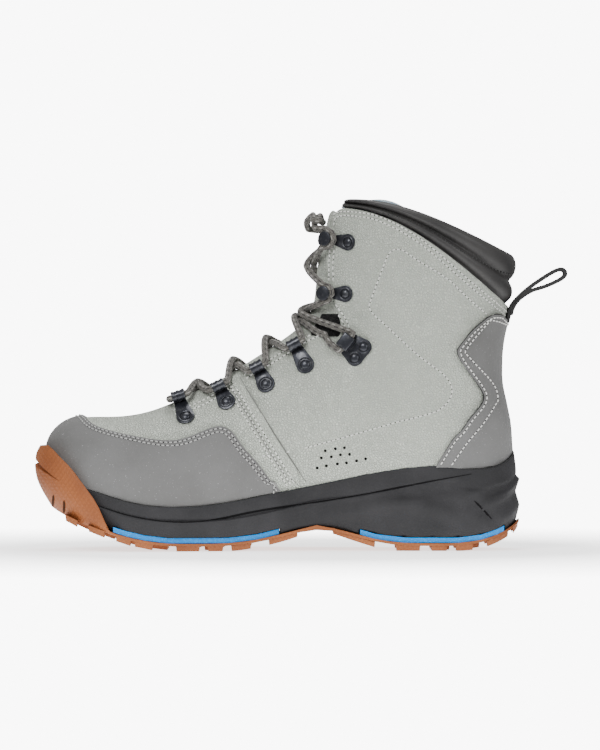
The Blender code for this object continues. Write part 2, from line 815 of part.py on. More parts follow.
toe_cap = shell(
    "toe_cap", CAP_ROWS, eased(CAP_COLUMNS, "start"),
    cap_edge, lambda t: max(rim_share(t, -OVERLAY_TUCK), cap_edge(t) + NARROWEST_OVERLAY),
    lambda t, u: GAP + CAP_THICKNESS, lambda t, u: -OVERLAY_SINK, GREY_NUBUCK,
)
fit_overlay(toe_cap)

# Heel counter: the grey overlay round the heel, with a forward point above the ankle
COUNTER_ROWS = (15.5, 15.9, 16.6, 17.5, 18.2, 19, 19.5, 19.9, 20.2, 20.37, 20.5, 20.62, 20.75, 20.95, 21.15,
                21.5, 21.9, 22.5, 23, 23.6, 24.1, 24.35)
COUNTER_COLUMNS = 7


def counter_edge(t):
    return smooth(COUNTER_EDGE, 1, t)


heel_counter = shell(
    "heel_counter", COUNTER_ROWS, eased(COUNTER_COLUMNS),
    counter_edge, lambda t: max(rim_share(t, -OVERLAY_TUCK), counter_edge(t) + NARROWEST_OVERLAY),
    lambda t, u: GAP + COUNTER_THICKNESS, lambda t, u: -OVERLAY_SINK, GREY_NUBUCK,
)
fit_overlay(heel_counter)

# Seam strips: the raised seam that joins vamp and quarter on each side, from the throat to the sole
# Each row: girth, share of the way from front to base
STRIP_PATH = (
    (10.78, 0.075),
    (11.10, 0.280),
    (11.45, 0.500),
    (11.80, 0.690),
    (12.12, 0.850),
)


def seam_strip(name, side):
    points, faces = [], []
    lengthways = 10
    for k in range(lengthways + 1):
        t = STRIP_PATH[0][0] + (STRIP_PATH[-1][0] - STRIP_PATH[0][0]) * k / lengthways
        v = smooth(STRIP_PATH, 1, t)
        here = skin_point(t, v, side)
        out = skin_normal(t, v, side)
        ahead = (skin_point(t + 0.02, smooth(STRIP_PATH, 1, t + 0.02), side) - here).normalized()
        across = out.cross(ahead) * side
        for shift in (-0.5, 0.0, 0.5):
            spot = here + across * shift * STRIP_WIDTH
            sag = (abs(shift) * STRIP_WIDTH) ** 2 / (0.7 * BALL_WIDTH)
            for level in (-OVERLAY_SINK, GAP + STRIP_THICKNESS):
                points.append(spot + out * (level - sag))
    for k in range(lengthways):
        a, b = 6 * k, 6 * k + 6
        for p, q in ((0, 2), (2, 4), (4, 5), (5, 3), (3, 1), (1, 0)):
            faces.append((a + p, a + q, b + q, b + p))
    last = 6 * lengthways
    faces += [(0, 2, 4, 5, 3, 1), tuple(last + k for k in (0, 2, 4, 5, 3, 1))]
    return object_of(name, points, faces, PALE_LEATHER)


for side, word in ((1, "outer"), (-1, "inner")):
    fit_overlay(seam_strip(f"seam_strip_{word}", side))

# Insole: the removable foot bed inside the upper
INSOLE_SHARES = (0, 0.02, 0.06, 0.12, 0.2, 0.3, 0.4, 0.5, 0.6, 0.7, 0.8, 0.88, 0.94, 0.98, 1)
INSOLE_EDGE = RIM_WIDTH + WALL + 0.0012


def insole_ring(rise, inset):
    return plan_ring(
        INSOLE_SHARES, lambda s: height(SEAT, s) + 2 * GAP + rise, lambda s: INSOLE_EDGE + inset,
        HEEL_RIM + WALL + 0.0045 + inset, TOE_WALL + TOE_RIM + WALL + 0.0025 + inset,
    )


plan_loft("insole", [insole_ring(0, 0.0015), insole_ring(INSOLE_THICKNESS, 0.0)], INSOLE_FOAM)

# Outsole: gum rubber plate, toe bumper and lugs in one moulding
OUTSOLE_SHARES = (0, 0.006, 0.022, 0.045, 0.08, 0.13, 0.18, 0.24, 0.30, 0.36, 0.42, 0.48, 0.54, 0.60, 0.66,
                  0.72, 0.77, 0.81, 0.842, 0.853, 0.865, 0.878, 0.892, 0.905, 0.918, 0.935, 0.951, 0.967,
                  0.98, 0.991, 0.998, 1)
# Each row: share of the bumper's height, inset in metres at the toe's tip
BUMPER_PROFILE = (
    (0.00, 0.0110),
    (0.16, 0.0050),
    (0.38, 0.0008),
    (0.60, 0.0000),
    (0.86, 0.0010),
    (1.00, 0.0034),
)


def bumper_top(s):
    bare = plate_top(s) - GAP / 3
    return max(bare, smooth(BUMPER_EDGE, 1, s) * HEEL_SEAT) if s > BUMPER_BACK else bare


def outsole_ring(share, inset):
    def level(s):
        return plate_bottom(s) + (bumper_top(s) - plate_bottom(s)) * share

    def side(s):
        return inset * 0.45 * ease((s - BUMPER_BACK) / 0.12)

    return plan_ring(OUTSOLE_SHARES, level, side, 0.0, inset)


outsole = plan_loft("outsole", [outsole_ring(*row) for row in BUMPER_PROFILE], GUM_RUBBER)
combine(outsole, plan_loft("cutter", midsole_rings(GAP, GAP / 2, 0.002), GUM_RUBBER), "DIFFERENCE")
BUMPER_ROWS = 11
combine(outsole, solid_skin(UPPER_ROWS[:BUMPER_ROWS], CAP_THICKNESS + 2.5 * GAP, GUM_RUBBER), "DIFFERENCE")

# Toe bumper: the tapering slot round its front
SLOT_DEPTH = 0.0026
SLOT_TIP_HEIGHT = 1.56
SLOT_DROP = 5.2
SLOT_HALF_HEIGHT = 0.0017
SLOT_BACK = 0.945


def toe_slot():
    points, faces = [], []
    count = 14
    for k in range(count + 1):
        turn = -1 + 2 * k / count
        s = 1 - (1 - SLOT_BACK) * abs(turn) ** 2.2
        sign = 1 if turn >= 0 else -1
        z = (SLOT_TIP_HEIGHT - SLOT_DROP * (1 - s)) * HEEL_SEAT
        taper = 1 - 0.9 * abs(turn) ** 2
        outside = Vector((place(s) - 0.004, centre(s) + sign * (half_width(s) + 0.004 * abs(turn)), z))
        deep = half_width(s, SLOT_DEPTH * taper, 0.0, SLOT_DEPTH * taper)
        inside = Vector((place(min(s, 1 - SLOT_DEPTH * taper / LENGTH)), centre(s) + sign * deep, z))
        for point, half in ((outside, 2.2), (inside, 0.55)):
            points.append(point + Vector((0, 0, SLOT_HALF_HEIGHT * half * taper)))
            points.append(point - Vector((0, 0, SLOT_HALF_HEIGHT * half * taper)))
    for k in range(count):
        a, b = 4 * k, 4 * k + 4
        for p, q in ((0, 1), (1, 3), (3, 2), (2, 0)):
            faces.append((a + p, a + q, b + q, b + p))
    last = 4 * count
    faces += [(0, 1, 3, 2), (last, last + 1, last + 3, last + 2)]
    return object_of("cutter", points, faces, GUM_RUBBER)


combine(outsole, toe_slot(), "DIFFERENCE")

# Lugs. Each row: where the lug starts and ends along the boot, how deep it reaches in from the edge as
# a share of the ball width, for the lugs along both edges
EDGE_LUGS = (
    (0.004, 0.018, 0.10),
    (0.027, 0.072, 0.15),
    (0.100, 0.136, 0.17),
    (0.153, 0.186, 0.15),
    (0.208, 0.258, 0.17),
    (0.300, 0.388, 0.11),
    (0.458, 0.518, 0.12),
    (0.553, 0.594, 0.16),
    (0.610, 0.642, 0.14),
    (0.658, 0.706, 0.18),
    (0.753, 0.790, 0.18),
    (0.797, 0.828, 0.14),
    (0.850, 0.884, 0.14),
    (0.906, 0.932, 0.10),
)
# Each row: start and end along the boot, then left and right edge as shares of the half width
MIDDLE_LUGS = (
    (0.030, 0.062, -0.42, 0.42),
    (0.085, 0.122, -0.44, 0.44),
    (0.146, 0.186, -0.40, 0.40),
    (0.210, 0.250, -0.44, 0.44),
    (0.560, 0.596, -0.36, -0.04),
    (0.560, 0.596, 0.04, 0.36),
    (0.616, 0.650, -0.52, -0.20),
    (0.616, 0.650, -0.16, 0.16),
    (0.616, 0.650, 0.20, 0.52),
    (0.668, 0.704, -0.42, -0.04),
    (0.668, 0.704, 0.04, 0.42),
    (0.724, 0.758, -0.46, -0.18),
    (0.724, 0.758, -0.14, 0.14),
    (0.724, 0.758, 0.18, 0.46),
    (0.778, 0.812, -0.44, -0.04),
    (0.778, 0.812, 0.04, 0.44),
    (0.832, 0.864, -0.48, -0.18),
    (0.832, 0.864, -0.14, 0.14),
    (0.832, 0.864, 0.18, 0.48),
    (0.884, 0.914, -0.40, -0.04),
    (0.884, 0.914, 0.04, 0.40),
)
LUG_ROOT = PLATE_THICKNESS * 0.5
LUG_DRAFT = 0.0005


def lug(name, outline):
    """A lug from the tread up into the plate, a little smaller at its foot. outline is (share, y)."""
    count = len(outline)
    middle_s = sum(s for s, y in outline) / count
    middle_y = sum(y for s, y in outline) / count
    points = []
    for s, y in outline:
        points.append(Vector((place(s), y, plate_bottom(s) + LUG_ROOT)))
    for s, y in outline:
        s_foot = s - math.copysign(LUG_DRAFT / LENGTH, s - middle_s)
        y_foot = y - math.copysign(LUG_DRAFT, y - middle_y)
        points.append(Vector((place(s_foot), y_foot, height(TREAD, s))))
    faces = [tuple(range(count)), tuple(range(count, 2 * count))]
    faces += [(k, (k + 1) % count, count + (k + 1) % count, count + k) for k in range(count)]
    return object_of(name, points, faces, GUM_RUBBER)


def edge_lug(row, sign):
    start, end, depth = row
    edge = 0.0006

    def outside(s):
        return centre(s) + sign * (half_width(s, edge) - (0.004 if s < 0.01 else 0.0))

    inner = [(s, outside(s) - sign * min(depth * BALL_WIDTH, half_width(s) * 0.55)) for s in (end, start)]
    outer = [(s, outside(s)) for s in between((start, end), 2)]
    return lug("lug", outer + inner)


def middle_lug(row):
    start, end, left, right = row
    corners = [(start, left), (start, right), (end, right), (end, left)]
    return lug("lug", [(s, centre(s) + across * half_width(s)) for s, across in corners])


lugs = [edge_lug(row, sign) for row in EDGE_LUGS for sign in (1, -1)]
lugs += [middle_lug(row) for row in MIDDLE_LUGS]
combine(outsole, as_one("lugs", lugs, GUM_RUBBER), "UNION")

# Pull loop: a webbing band sewn to the heel's back, sides as pairs of outer and inner points
# Each row: place behind the heel's top and height over it, both as shares of the loop's length
LOOP_LENGTH = 0.0362
LOOP_WIDTH = 0.014
LOOP_BAND = 0.0014
LOOP_ROOT_GIRTH = 24.55
LOOP_CENTRE = (
    (0.22, 0.28),
    (0.40, 0.49),
    (0.58, 0.63),
    (0.76, 0.74),
    (0.90, 0.805),
    (0.975, 0.79),
    (1.00, 0.73),
    (0.965, 0.645),
    (0.85, 0.55),
    (0.68, 0.465),
    (0.50, 0.37),
    (0.33, 0.27),
)


def pull_loop():
    root = skin(LOOP_ROOT_GIRTH, 1.0, 1, 3 * GAP + COUNTER_THICKNESS)
    centre_line = [root + Vector((a * LOOP_LENGTH, 0, b * LOOP_LENGTH)) for a, b in LOOP_CENTRE]
    middle = sum(centre_line, Vector()) / len(centre_line)
    outer, inner = [], []
    for k, point in enumerate(centre_line):
        ahead = centre_line[min(k + 1, len(centre_line) - 1)] - centre_line[max(k - 1, 0)]
        across = Vector((-ahead.z, 0, ahead.x)).normalized() * LOOP_BAND / 2
        if across.dot(point - middle) < 0:
            across = -across
        outer.append(point + across)
        inner.append(point - across)
    lower = skin(LOOP_ROOT_GIRTH - 0.55, 1.0, 1, 3 * GAP + COUNTER_THICKNESS)
    tail = [lower + Vector((LOOP_BAND * 1.6, 0, 0)), lower, root, root + Vector((0.004, 0, 0.0075))]
    tail_inner = [inner[-1], inner[-1], inner[0], inner[0]]
    outer += tail
    inner += tail_inner
    points, faces, index = [], [], {}

    def corner(point, y):
        key = (round(point.x, 7), round(point.z, 7), y)
        if key not in index:
            index[key] = len(points)
            points.append(Vector((point.x, point.y + y * LOOP_WIDTH / 2, point.z)))
        return index[key]

    count = len(outer)
    for k in range(count):
        n = (k + 1) % count
        for y in (1, -1):
            faces.append((corner(outer[k], y), corner(outer[n], y), corner(inner[n], y), corner(inner[k], y)))
        faces.append((corner(outer[k], 1), corner(outer[n], 1), corner(outer[n], -1), corner(outer[k], -1)))
        faces.append((corner(inner[k], 1), corner(inner[n], 1), corner(inner[n], -1), corner(inner[k], -1)))
    faces = [face for face in faces if len(set(face)) > 2]
    return object_of("pull_loop", points, faces, BLACK_WEBBING)


pull_loop()

# Metal pieces and lace sit on local frames of the skin
def skin_frame(t, v, side):
    """A place on the skin and its three directions: towards the throat, up along it, and outwards."""
    here = skin_point(t, v, side)
    out = skin_normal(t, v, side)
    up = skin_point(t + 0.03, v, side) - skin_point(t - 0.03, v, side)
    up = (up - out * up.dot(out)).normalized()
    inward = up.cross(out)
    towards = skin_point(t, max(0.0, v - 0.01), side) - here
    return here, inward if inward.dot(towards) > 0 else -inward, up, out


def set_on(frame, points):
    here, across, up, out = frame
    return [here + across * x + up * y + out * z for x, y, z in points]


def prism(lower, upper_points, finish):
    """A closed block between two outlines with the same count of points."""
    count = len(lower)
    faces = [tuple(range(count)), tuple(range(count, 2 * count))]
    faces += [(k, (k + 1) % count, count + (k + 1) % count, count + k) for k in range(count)]
    return object_of("block", lower + upper_points, faces, finish)


def disc(frame, levels, sides, finish):
    """A round piece through (height, radius) levels, standing on the skin."""
    rings = []
    for z, radius in levels:
        turns = [2 * math.pi * (k + 0.5) / sides for k in range(sides)]
        rings.append(set_on(frame, [(radius * math.cos(a), radius * math.sin(a), z) for a in turns]))
    points = [point for ring in rings for point in ring]
    faces = [tuple(range(sides)), tuple(range(len(points) - sides, len(points)))]
    for r in range(len(rings) - 1):
        for k in range(sides):
            a, b = r * sides + k, r * sides + (k + 1) % sides
            faces.append((a, b, b + sides, a + sides))
    return object_of("round", points, faces, finish)


def strap(low_frame, high_frame, half_width, low, high, finish):
    """A flat bar between two places on the skin."""
    outline = []
    for z in (low, high):
        ends = [set_on(low_frame, [(0, -half_width, z), (0, half_width, z)])]
        ends.append(set_on(high_frame, [(0, half_width, z), (0, -half_width, z)]))
        outline.append(ends[0] + ends[1])
    return prism(outline[0], outline[1], finish)


def seated(name, pieces, finish):
    """Joins the parts of one fitting and cuts its underside to the clearance off the upper."""
    fitting = as_one(name, pieces, finish)
    return combine(fitting, solid_skin(UPPER_ROWS, GAP, finish), "DIFFERENCE")


BASE_RADIUS = 0.0062
BASE_HEIGHT = 0.0014
BASE_SINK = 0.0012
RIVET_RADIUS = 0.0036
RIVET_HEIGHT = 0.0030
BASE_LEVELS = (
    (-BASE_SINK, BASE_RADIUS),
    (BASE_HEIGHT, BASE_RADIUS * 0.95),
    (BASE_HEIGHT, RIVET_RADIUS),
    (RIVET_HEIGHT, RIVET_RADIUS * 0.55),
)
ROUND_SIDES = 8

# Lace loops: a riveted base with a short tube, through which the lace runs along the throat
# Each row: girth of the rivet, its share from front to base, share of the tube
LACE_LOOPS = (
    (8.66, 0.190, 0.118),
    (10.33, 0.209, 0.130),
    (11.76, 0.222, 0.142),
    (13.26, 0.225, 0.146),
)
TUBE_HOLE = LACE_DIAMETER / 2 + 0.0005
TUBE_WALL = 0.0010
TUBE_LENGTH = 0.0082
TUBE_HEIGHT = TUBE_HOLE + TUBE_WALL + 0.0005


def lace_tube(frame):
    sides = ROUND_SIDES
    points, faces = [], []
    for y in (-TUBE_LENGTH / 2, TUBE_LENGTH / 2):
        for radius in (TUBE_HOLE, TUBE_HOLE + TUBE_WALL):
            turns = [2 * math.pi * k / sides for k in range(sides)]
            spots = [(radius * math.cos(a), y, TUBE_HEIGHT + radius * math.sin(a)) for a in turns]
            points += set_on(frame, spots)
    for a, b in ((0, 1), (1, 3), (3, 2), (2, 0)):
        for k in range(sides):
            n = (k + 1) % sides
            faces.append((a * sides + k, a * sides + n, b * sides + n, b * sides + k))
    return object_of("tube", points, faces, BLACK_METAL)


for side, word in ((1, "outer"), (-1, "inner")):
    for number, (t, v_rivet, v_tube) in enumerate(LACE_LOOPS, 1):
        rivet_place, tube_place = skin_frame(t, v_rivet, side), skin_frame(t, v_tube, side)
        pieces = [
            disc(rivet_place, BASE_LEVELS, ROUND_SIDES, BLACK_METAL),
            strap(rivet_place, tube_place, TUBE_LENGTH / 2 - 0.0003, 0.0002, 0.0012, BLACK_METAL),
            lace_tube(tube_place),
        ]
        seated(f"lace_loop_{word}_{number}", pieces, BLACK_METAL)

# Speed hooks: a riveted base and a knob on a neck, round which the lace goes
# Each row: name, girth and share of the rivet, girth and share of the knob
SPEED_HOOKS = (
    ("low", 18.62, 0.153, 17.60, 0.100),
    ("top", 22.26, 0.123, 21.96, 0.058),
)
KNOB_RADIUS = 0.0048
NECK_RADIUS = 0.0024
KNOB_UNDERSIDE = LACE_DIAMETER + 2 * GAP
KNOB_LEVELS = (
    (0.0002, NECK_RADIUS),
    (KNOB_UNDERSIDE, NECK_RADIUS * 0.9),
    (KNOB_UNDERSIDE, KNOB_RADIUS),
    (KNOB_UNDERSIDE + 0.0020, KNOB_RADIUS * 0.7),
)

for side, word in ((1, "outer"), (-1, "inner")):
    for level, t_rivet, v_rivet, t_knob, v_knob in SPEED_HOOKS:
        rivet_place, knob_place = skin_frame(t_rivet, v_rivet, side), skin_frame(t_knob, v_knob, side)
        pieces = [
            disc(rivet_place, BASE_LEVELS, ROUND_SIDES, BLACK_METAL),
            strap(rivet_place, knob_place, 0.0034, -0.0004, 0.0010, BLACK_METAL),
            disc(knob_place, KNOB_LEVELS, ROUND_SIDES, BLACK_METAL),
        ]
        seated(f"speed_hook_{word}_{level}", pieces, BLACK_METAL)

# Locking hooks: a plate with two rivets and a clamp that is open towards the throat
# Each row: girth and share of a rivet
LOCK_RIVETS = (
    (15.77, 0.314),
    (16.80, 0.304),
)
LOCK_CLAMP = (15.97, 0.252)
LOCK_CORNERS = (
    (-0.0042, -0.0052),
    (0.0052, -0.0052),
    (0.0064, -0.0020),
    (0.0064, 0.0020),
    (0.0052, 0.0052),
    (-0.0042, 0.0052),
)
# Each row: place towards the throat and height of the clamp's outline
CLAMP_OUTLINE = (
    (-0.0040, -0.0012),
    (0.0042, -0.0012),
    (0.0042, 0.0012),
    (-0.0016, 0.0012),
    (-0.0016, 0.0064),
    (0.0046, 0.0064),
    (0.0050, 0.0078),
    (-0.0030, 0.0082),
    (-0.0040, 0.0070),
)
CLAMP_LENGTH = 0.0100

for side, word in ((1, "outer"), (-1, "inner")):
    clamp_place = skin_frame(*LOCK_CLAMP, side)
    pieces = []
    for t, v in LOCK_RIVETS:
        rivet_place = skin_frame(t, v, side)
        pieces.append(disc(rivet_place, BASE_LEVELS, ROUND_SIDES, BLACK_METAL))
        pieces.append(strap(rivet_place, clamp_place, 0.0045, -0.0006, 0.0011, BLACK_METAL))
    ends = [set_on(clamp_place, [(x, y * CLAMP_LENGTH / 2, z) for x, z in CLAMP_OUTLINE]) for y in (-1, 1)]
    pieces.append(prism(ends[0], ends[1], BLACK_METAL))
    seated(f"locking_hook_{word}", pieces, BLACK_METAL)

# Lace: each crossing over the tongue is one solid that stops short of the pieces it runs through
# Each row: girth and share where a strand leaves the lower piece, its height there, the girth of the
# crossing and its height, then girth, share and height where it reaches the upper piece
CROSSINGS = (
    (8.14, 0.108, 0.0044, 7.95, 0.0040, 8.14, 0.108, 0.0044),
    (9.02, 0.118, 0.0046, 9.42, 0.0036, 9.98, 0.130, 0.0042),
    (10.66, 0.130, 0.0042, 10.98, 0.0022, 11.42, 0.142, 0.0040),
    (12.12, 0.142, 0.0040, 12.42, 0.0022, 12.86, 0.146, 0.0040),
    (13.72, 0.144, 0.0040, 13.80, 0.0038, 15.10, 0.236, 0.0042),
    (16.70, 0.236, 0.0040, 15.20, 0.0038, 16.90, 0.118, 0.0036),
    (18.40, 0.096, 0.0030, 18.90, 0.0018, 21.20, 0.066, 0.0030),
    (22.75, 0.060, 0.0030, 23.50, 0.0020, 22.75, 0.060, 0.0030),
)
LACE_SIDES = 6
STRAND_LIFT = 0.0013
STRAND_PLACES = (1.0, 0.76, 0.40, 0.0)


def strand_point(w, row, side, lift):
    """A point of a strand: w runs from 1 at the lower piece through 0 at the crossing to -1."""
    t_low, v_low, h_low, t_cross, h_cross, t_high, v_high, h_high = row
    t_end, v_end, h_end = (t_low, v_low, h_low) if w > 0 else (t_high, v_high, h_high)
    u = abs(w)
    t = t_cross + (t_end - t_cross) * u**1.25
    v = v_end * u
    over_wall = ease((v - throat_edge(t) + 0.04) / 0.04)
    level = h_cross + (max(h_end, h_cross) - h_cross) * max(u**1.5, over_wall)
    flip = side if w > 0 else -side
    return skin(t, v, flip, level + lift * (1 - u) ** 2)


def cord(points, radius, sides, finish):
    """A round bar along points."""
    rings = []
    reference = Vector((0, 0, 1))
    for k, point in enumerate(points):
        ahead = (points[min(k + 1, len(points) - 1)] - points[max(k - 1, 0)]).normalized()
        first = (reference - ahead * reference.dot(ahead)).normalized()
        second = ahead.cross(first)
        turns = [2 * math.pi * j / sides for j in range(sides)]
        rings.append([point + (first * math.cos(a) + second * math.sin(a)) * radius for a in turns])
        reference = first
    corners = [corner for ring in rings for corner in ring]
    faces = [tuple(range(sides)), tuple(range(len(corners) - sides, len(corners)))]
    for r in range(len(rings) - 1):
        for j in range(sides):
            a, b = r * sides + j, r * sides + (j + 1) % sides
            faces.append((a, b, b + sides, a + sides))
    return object_of("cord", corners, faces, finish)


for number, row in enumerate(CROSSINGS, 1):
    strands = []
    for side, lift in ((1, STRAND_LIFT), (-1, -STRAND_LIFT)):
        places = list(STRAND_PLACES) + [-w for w in STRAND_PLACES[-2::-1]]
        points = [strand_point(w, row, side, lift) for w in places]
        strands.append(cord(points, LACE_DIAMETER / 2, LACE_SIDES, GREY_CORD))
    combine(strands[0], strands[1], "UNION").name = f"lace_crossing_{number}"
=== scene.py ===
"""A right wading boot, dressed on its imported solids. Toe to -X, inner side to -Y, floor at z = 0."""

import math

import bmesh
import bpy
import numpy as np
from mathutils import Matrix, Vector
from mathutils.bvhtree import BVHTree


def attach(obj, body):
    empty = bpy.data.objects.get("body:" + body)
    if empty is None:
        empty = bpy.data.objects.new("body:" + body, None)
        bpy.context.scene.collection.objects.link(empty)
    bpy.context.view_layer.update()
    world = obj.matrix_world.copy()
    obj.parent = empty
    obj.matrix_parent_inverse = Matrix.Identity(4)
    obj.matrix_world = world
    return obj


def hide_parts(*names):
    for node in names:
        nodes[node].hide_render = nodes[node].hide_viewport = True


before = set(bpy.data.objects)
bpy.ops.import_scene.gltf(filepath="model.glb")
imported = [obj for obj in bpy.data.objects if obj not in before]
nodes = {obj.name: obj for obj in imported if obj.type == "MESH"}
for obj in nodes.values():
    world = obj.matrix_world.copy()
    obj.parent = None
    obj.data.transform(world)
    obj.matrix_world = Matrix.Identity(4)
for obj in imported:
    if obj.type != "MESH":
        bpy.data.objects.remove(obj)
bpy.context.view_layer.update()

# Photographer's set: the boot stands on a small pale floor that fades into a white room, under three soft
# lamps, and a long lens looks at its inner side, level with the middle of the picture.
PIXEL = 0.00066
PIXEL_AT_ORIGIN = (440.0, 549.0)
PICTURE = (600, 750)
LENS = 250.0
SENSOR = 36.0
FLOOR_RADIUS = 0.55
FLOOR_GLOW = 1.6
ROOM_WHITE = 9.0
ROOM_LIGHT = 0.42


def from_picture(px, py):
    """The place across and the height of a point of the picture, at the boot's middle plane, in metres."""
    return (px - PIXEL_AT_ORIGIN[0]) * PIXEL, (PIXEL_AT_ORIGIN[1] - py) * PIXEL


def placed(name, data):
    """A new object of the scene that shows its data."""
    thing = bpy.data.objects.new(name, data)
    bpy.context.collection.objects.link(thing)
    return thing


middle_x, middle_z = from_picture(PICTURE[0] / 2, PICTURE[1] / 2)
view_height = PICTURE[1] * PIXEL
camera_data = bpy.data.cameras.new("long_lens")
camera_data.lens = LENS
camera_data.sensor_width = SENSOR
camera = placed("camera", camera_data)
camera.location = (middle_x, -view_height * LENS / SENSOR, middle_z)
camera.rotation_euler = (math.radians(90), 0, 0)
bpy.context.scene.camera = camera


def soft_lamp(name, place, size, power):
    """A round lamp that looks at the middle of the boot."""
    lamp = bpy.data.lights.new(name, "AREA")
    lamp.shape = "DISK"
    lamp.size = size
    lamp.energy = power
    holder = placed(name, lamp)
    holder.location = place
    holder.rotation_euler = (BOOT_MIDDLE - Vector(place)).to_track_quat("-Z", "Y").to_euler()


BOOT_MIDDLE = Vector((middle_x, 0, 0.1))
soft_lamp("key_lamp", (-0.9, -1.5, 1.5), 1.1, 34)
soft_lamp("fill_lamp", (1.3, -1.2, 0.8), 1.2, 14)
soft_lamp("top_lamp", (-0.1, 0.5, 1.8), 1.0, 16)

room = bpy.data.worlds.new("white_room")
room.use_nodes = True
room_nodes, room_link = room.node_tree.nodes, room.node_tree.links.new
room_light, room_seen = room_nodes["Background"], room_nodes.new("ShaderNodeBackground")
for background, strength in ((room_light, ROOM_LIGHT), (room_seen, ROOM_WHITE)):
    background.inputs["Color"].default_value = (1, 1, 1, 1)
    background.inputs["Strength"].default_value = strength
room_path = room_nodes.new("ShaderNodeLightPath")
room_mix = room_nodes.new("ShaderNodeMixShader")
room_link(room_path.outputs["Is Camera Ray"], room_mix.inputs["Fac"])
room_link(room_light.outputs[0], room_mix.inputs[1])
room_link(room_seen.outputs[0], room_mix.inputs[2])
room_link(room_mix.outputs[0], room_nodes["World Output"].inputs["Surface"])
bpy.context.scene.world = room


class Finish:
    """A material under construction: a Principled shader and the nodes that feed it."""

    def __init__(self, name, roughness, metallic=0.0, coat=0.0, sheen=0.0, specular=0.5):
        self.material = bpy.data.materials.new(name)
        self.material.use_nodes = True
        self.nodes = self.material.node_tree.nodes
        self.shader = self.nodes["Principled BSDF"]
        self.place = self.nodes.new("ShaderNodeTexCoord").outputs["Object"]
        for socket, value in (
            ("Roughness", roughness), ("Metallic", metallic), ("Coat Weight", coat),
            ("Sheen Weight", sheen), ("Specular IOR Level", specular),
        ):
            self.shader.inputs[socket].default_value = value

    def link(self, output, target):
        self.material.node_tree.links.new(output, target)

    def texture(self, kind, scale, place=None, **settings):
        node = self.nodes.new(kind)
        for key, value in settings.items():
            if key in node.inputs:
                node.inputs[key].default_value = value
            else:
                setattr(node, key, value)
        node.inputs["Scale"].default_value = scale
        self.link(place or self.place, node.inputs["Vector"])
        return node.outputs[0] if kind != "ShaderNodeTexNoise" else node.outputs["Fac"]

    def noise(self, scale, detail):
        return self.texture("ShaderNodeTexNoise", scale, Detail=detail)

    def turned(self, turn, source=None):
        node = self.nodes.new("ShaderNodeMapping")
        node.inputs["Rotation"].default_value = turn
        self.link(source or self.place, node.inputs["Vector"])
        return node.outputs[0]

    def maths(self, operation, first, second=0.0):
        node = self.nodes.new("ShaderNodeMath")
        node.operation = operation
        for socket, value in zip(node.inputs, (first, second)):
            if isinstance(value, (int, float)):
                socket.default_value = value
            else:
                self.link(value, socket)
        return node.outputs[0]

    def crossed(self, scale, turn, source=None):
        """Two sets of bands that cross, turned one way and the other."""
        return self.maths("MAXIMUM", *(
            self.texture("ShaderNodeTexWave", scale, self.turned([way * angle for angle in turn], source))
            for way in (1, -1)
        ))

    def ramp(self, value, *stops):
        """A value run through grey stops, each (position, brightness)."""
        node = self.nodes.new("ShaderNodeValToRGB")
        band = node.color_ramp
        while len(band.elements) < len(stops):
            band.elements.new(0.5)
        for element, (position, grey) in zip(band.elements, stops):
            element.position = position
            element.color = (grey, grey, grey, 1)
        self.link(value, node.inputs["Fac"])
        return node.outputs["Color"]

    def blend(self, share, first, second):
        node = self.nodes.new("ShaderNodeMix")
        node.data_type = "RGBA"
        for socket, value in ((node.inputs[0], share), (node.inputs[6], first), (node.inputs[7], second)):
            if isinstance(value, tuple):
                socket.default_value = (*value, 1)
            else:
                self.link(value, socket)
        return node.outputs[2]

    def patched(self, scale, detail, low, high, first, second):
        """One colour where a noise lies under low, another where it lies over high."""
        return self.blend(self.ramp(self.noise(scale, detail), (low, 0.0), (high, 1.0)), first, second)

    def colour(self, value):
        if isinstance(value, tuple):
            self.shader.inputs["Base Color"].default_value = (*value, 1)
        else:
            self.link(value, self.shader.inputs["Base Color"])

    def bumps(self, *layers):
        """Bump layers, each (value, height in metres, strength)."""
        normal = None
        for value, tall, strength in layers:
            node = self.nodes.new("ShaderNodeBump")
            node.inputs["Distance"].default_value = tall
            node.inputs["Strength"].default_value = strength
            self.link(value, node.inputs["Height"])
            if normal is not None:
                self.link(normal, node.inputs["Normal"])
            normal = node.outputs[0]
        self.link(normal, self.shader.inputs["Normal"])

    def roughness(self, value):
        self.link(value, self.shader.inputs["Roughness"])


pale = Finish("pale_floor", 0.7)
pale.colour((0.9, 0.9, 0.9))
pale.shader.inputs["Emission Color"].default_value = (1, 1, 1, 1)
pale.shader.inputs["Emission Strength"].default_value = FLOOR_GLOW
faded = pale.nodes.new("ShaderNodeBsdfTransparent")
mix = pale.nodes.new("ShaderNodeMixShader")
length = pale.nodes.new("ShaderNodeVectorMath")
length.operation = "LENGTH"
pale.link(pale.place, length.inputs[0])
share = pale.ramp(
    pale.maths("DIVIDE", length.outputs["Value"], FLOOR_RADIUS), (0.35, 0.0), (0.95, 1.0)
)
pale.link(share, mix.inputs["Fac"])
pale.link(pale.shader.outputs[0], mix.inputs[1])
pale.link(faded.outputs[0], mix.inputs[2])
pale.link(mix.outputs[0], pale.nodes["Material Output"].inputs["Surface"])


bpy.ops.object.select_all(action="DESELECT")
bpy.ops.mesh.primitive_circle_add(
    vertices=64, radius=FLOOR_RADIUS, fill_type="NGON", location=(middle_x, 0, 0)
)
floor = bpy.context.object
floor.name = "floor"
floor.data.materials.append(pale.material)

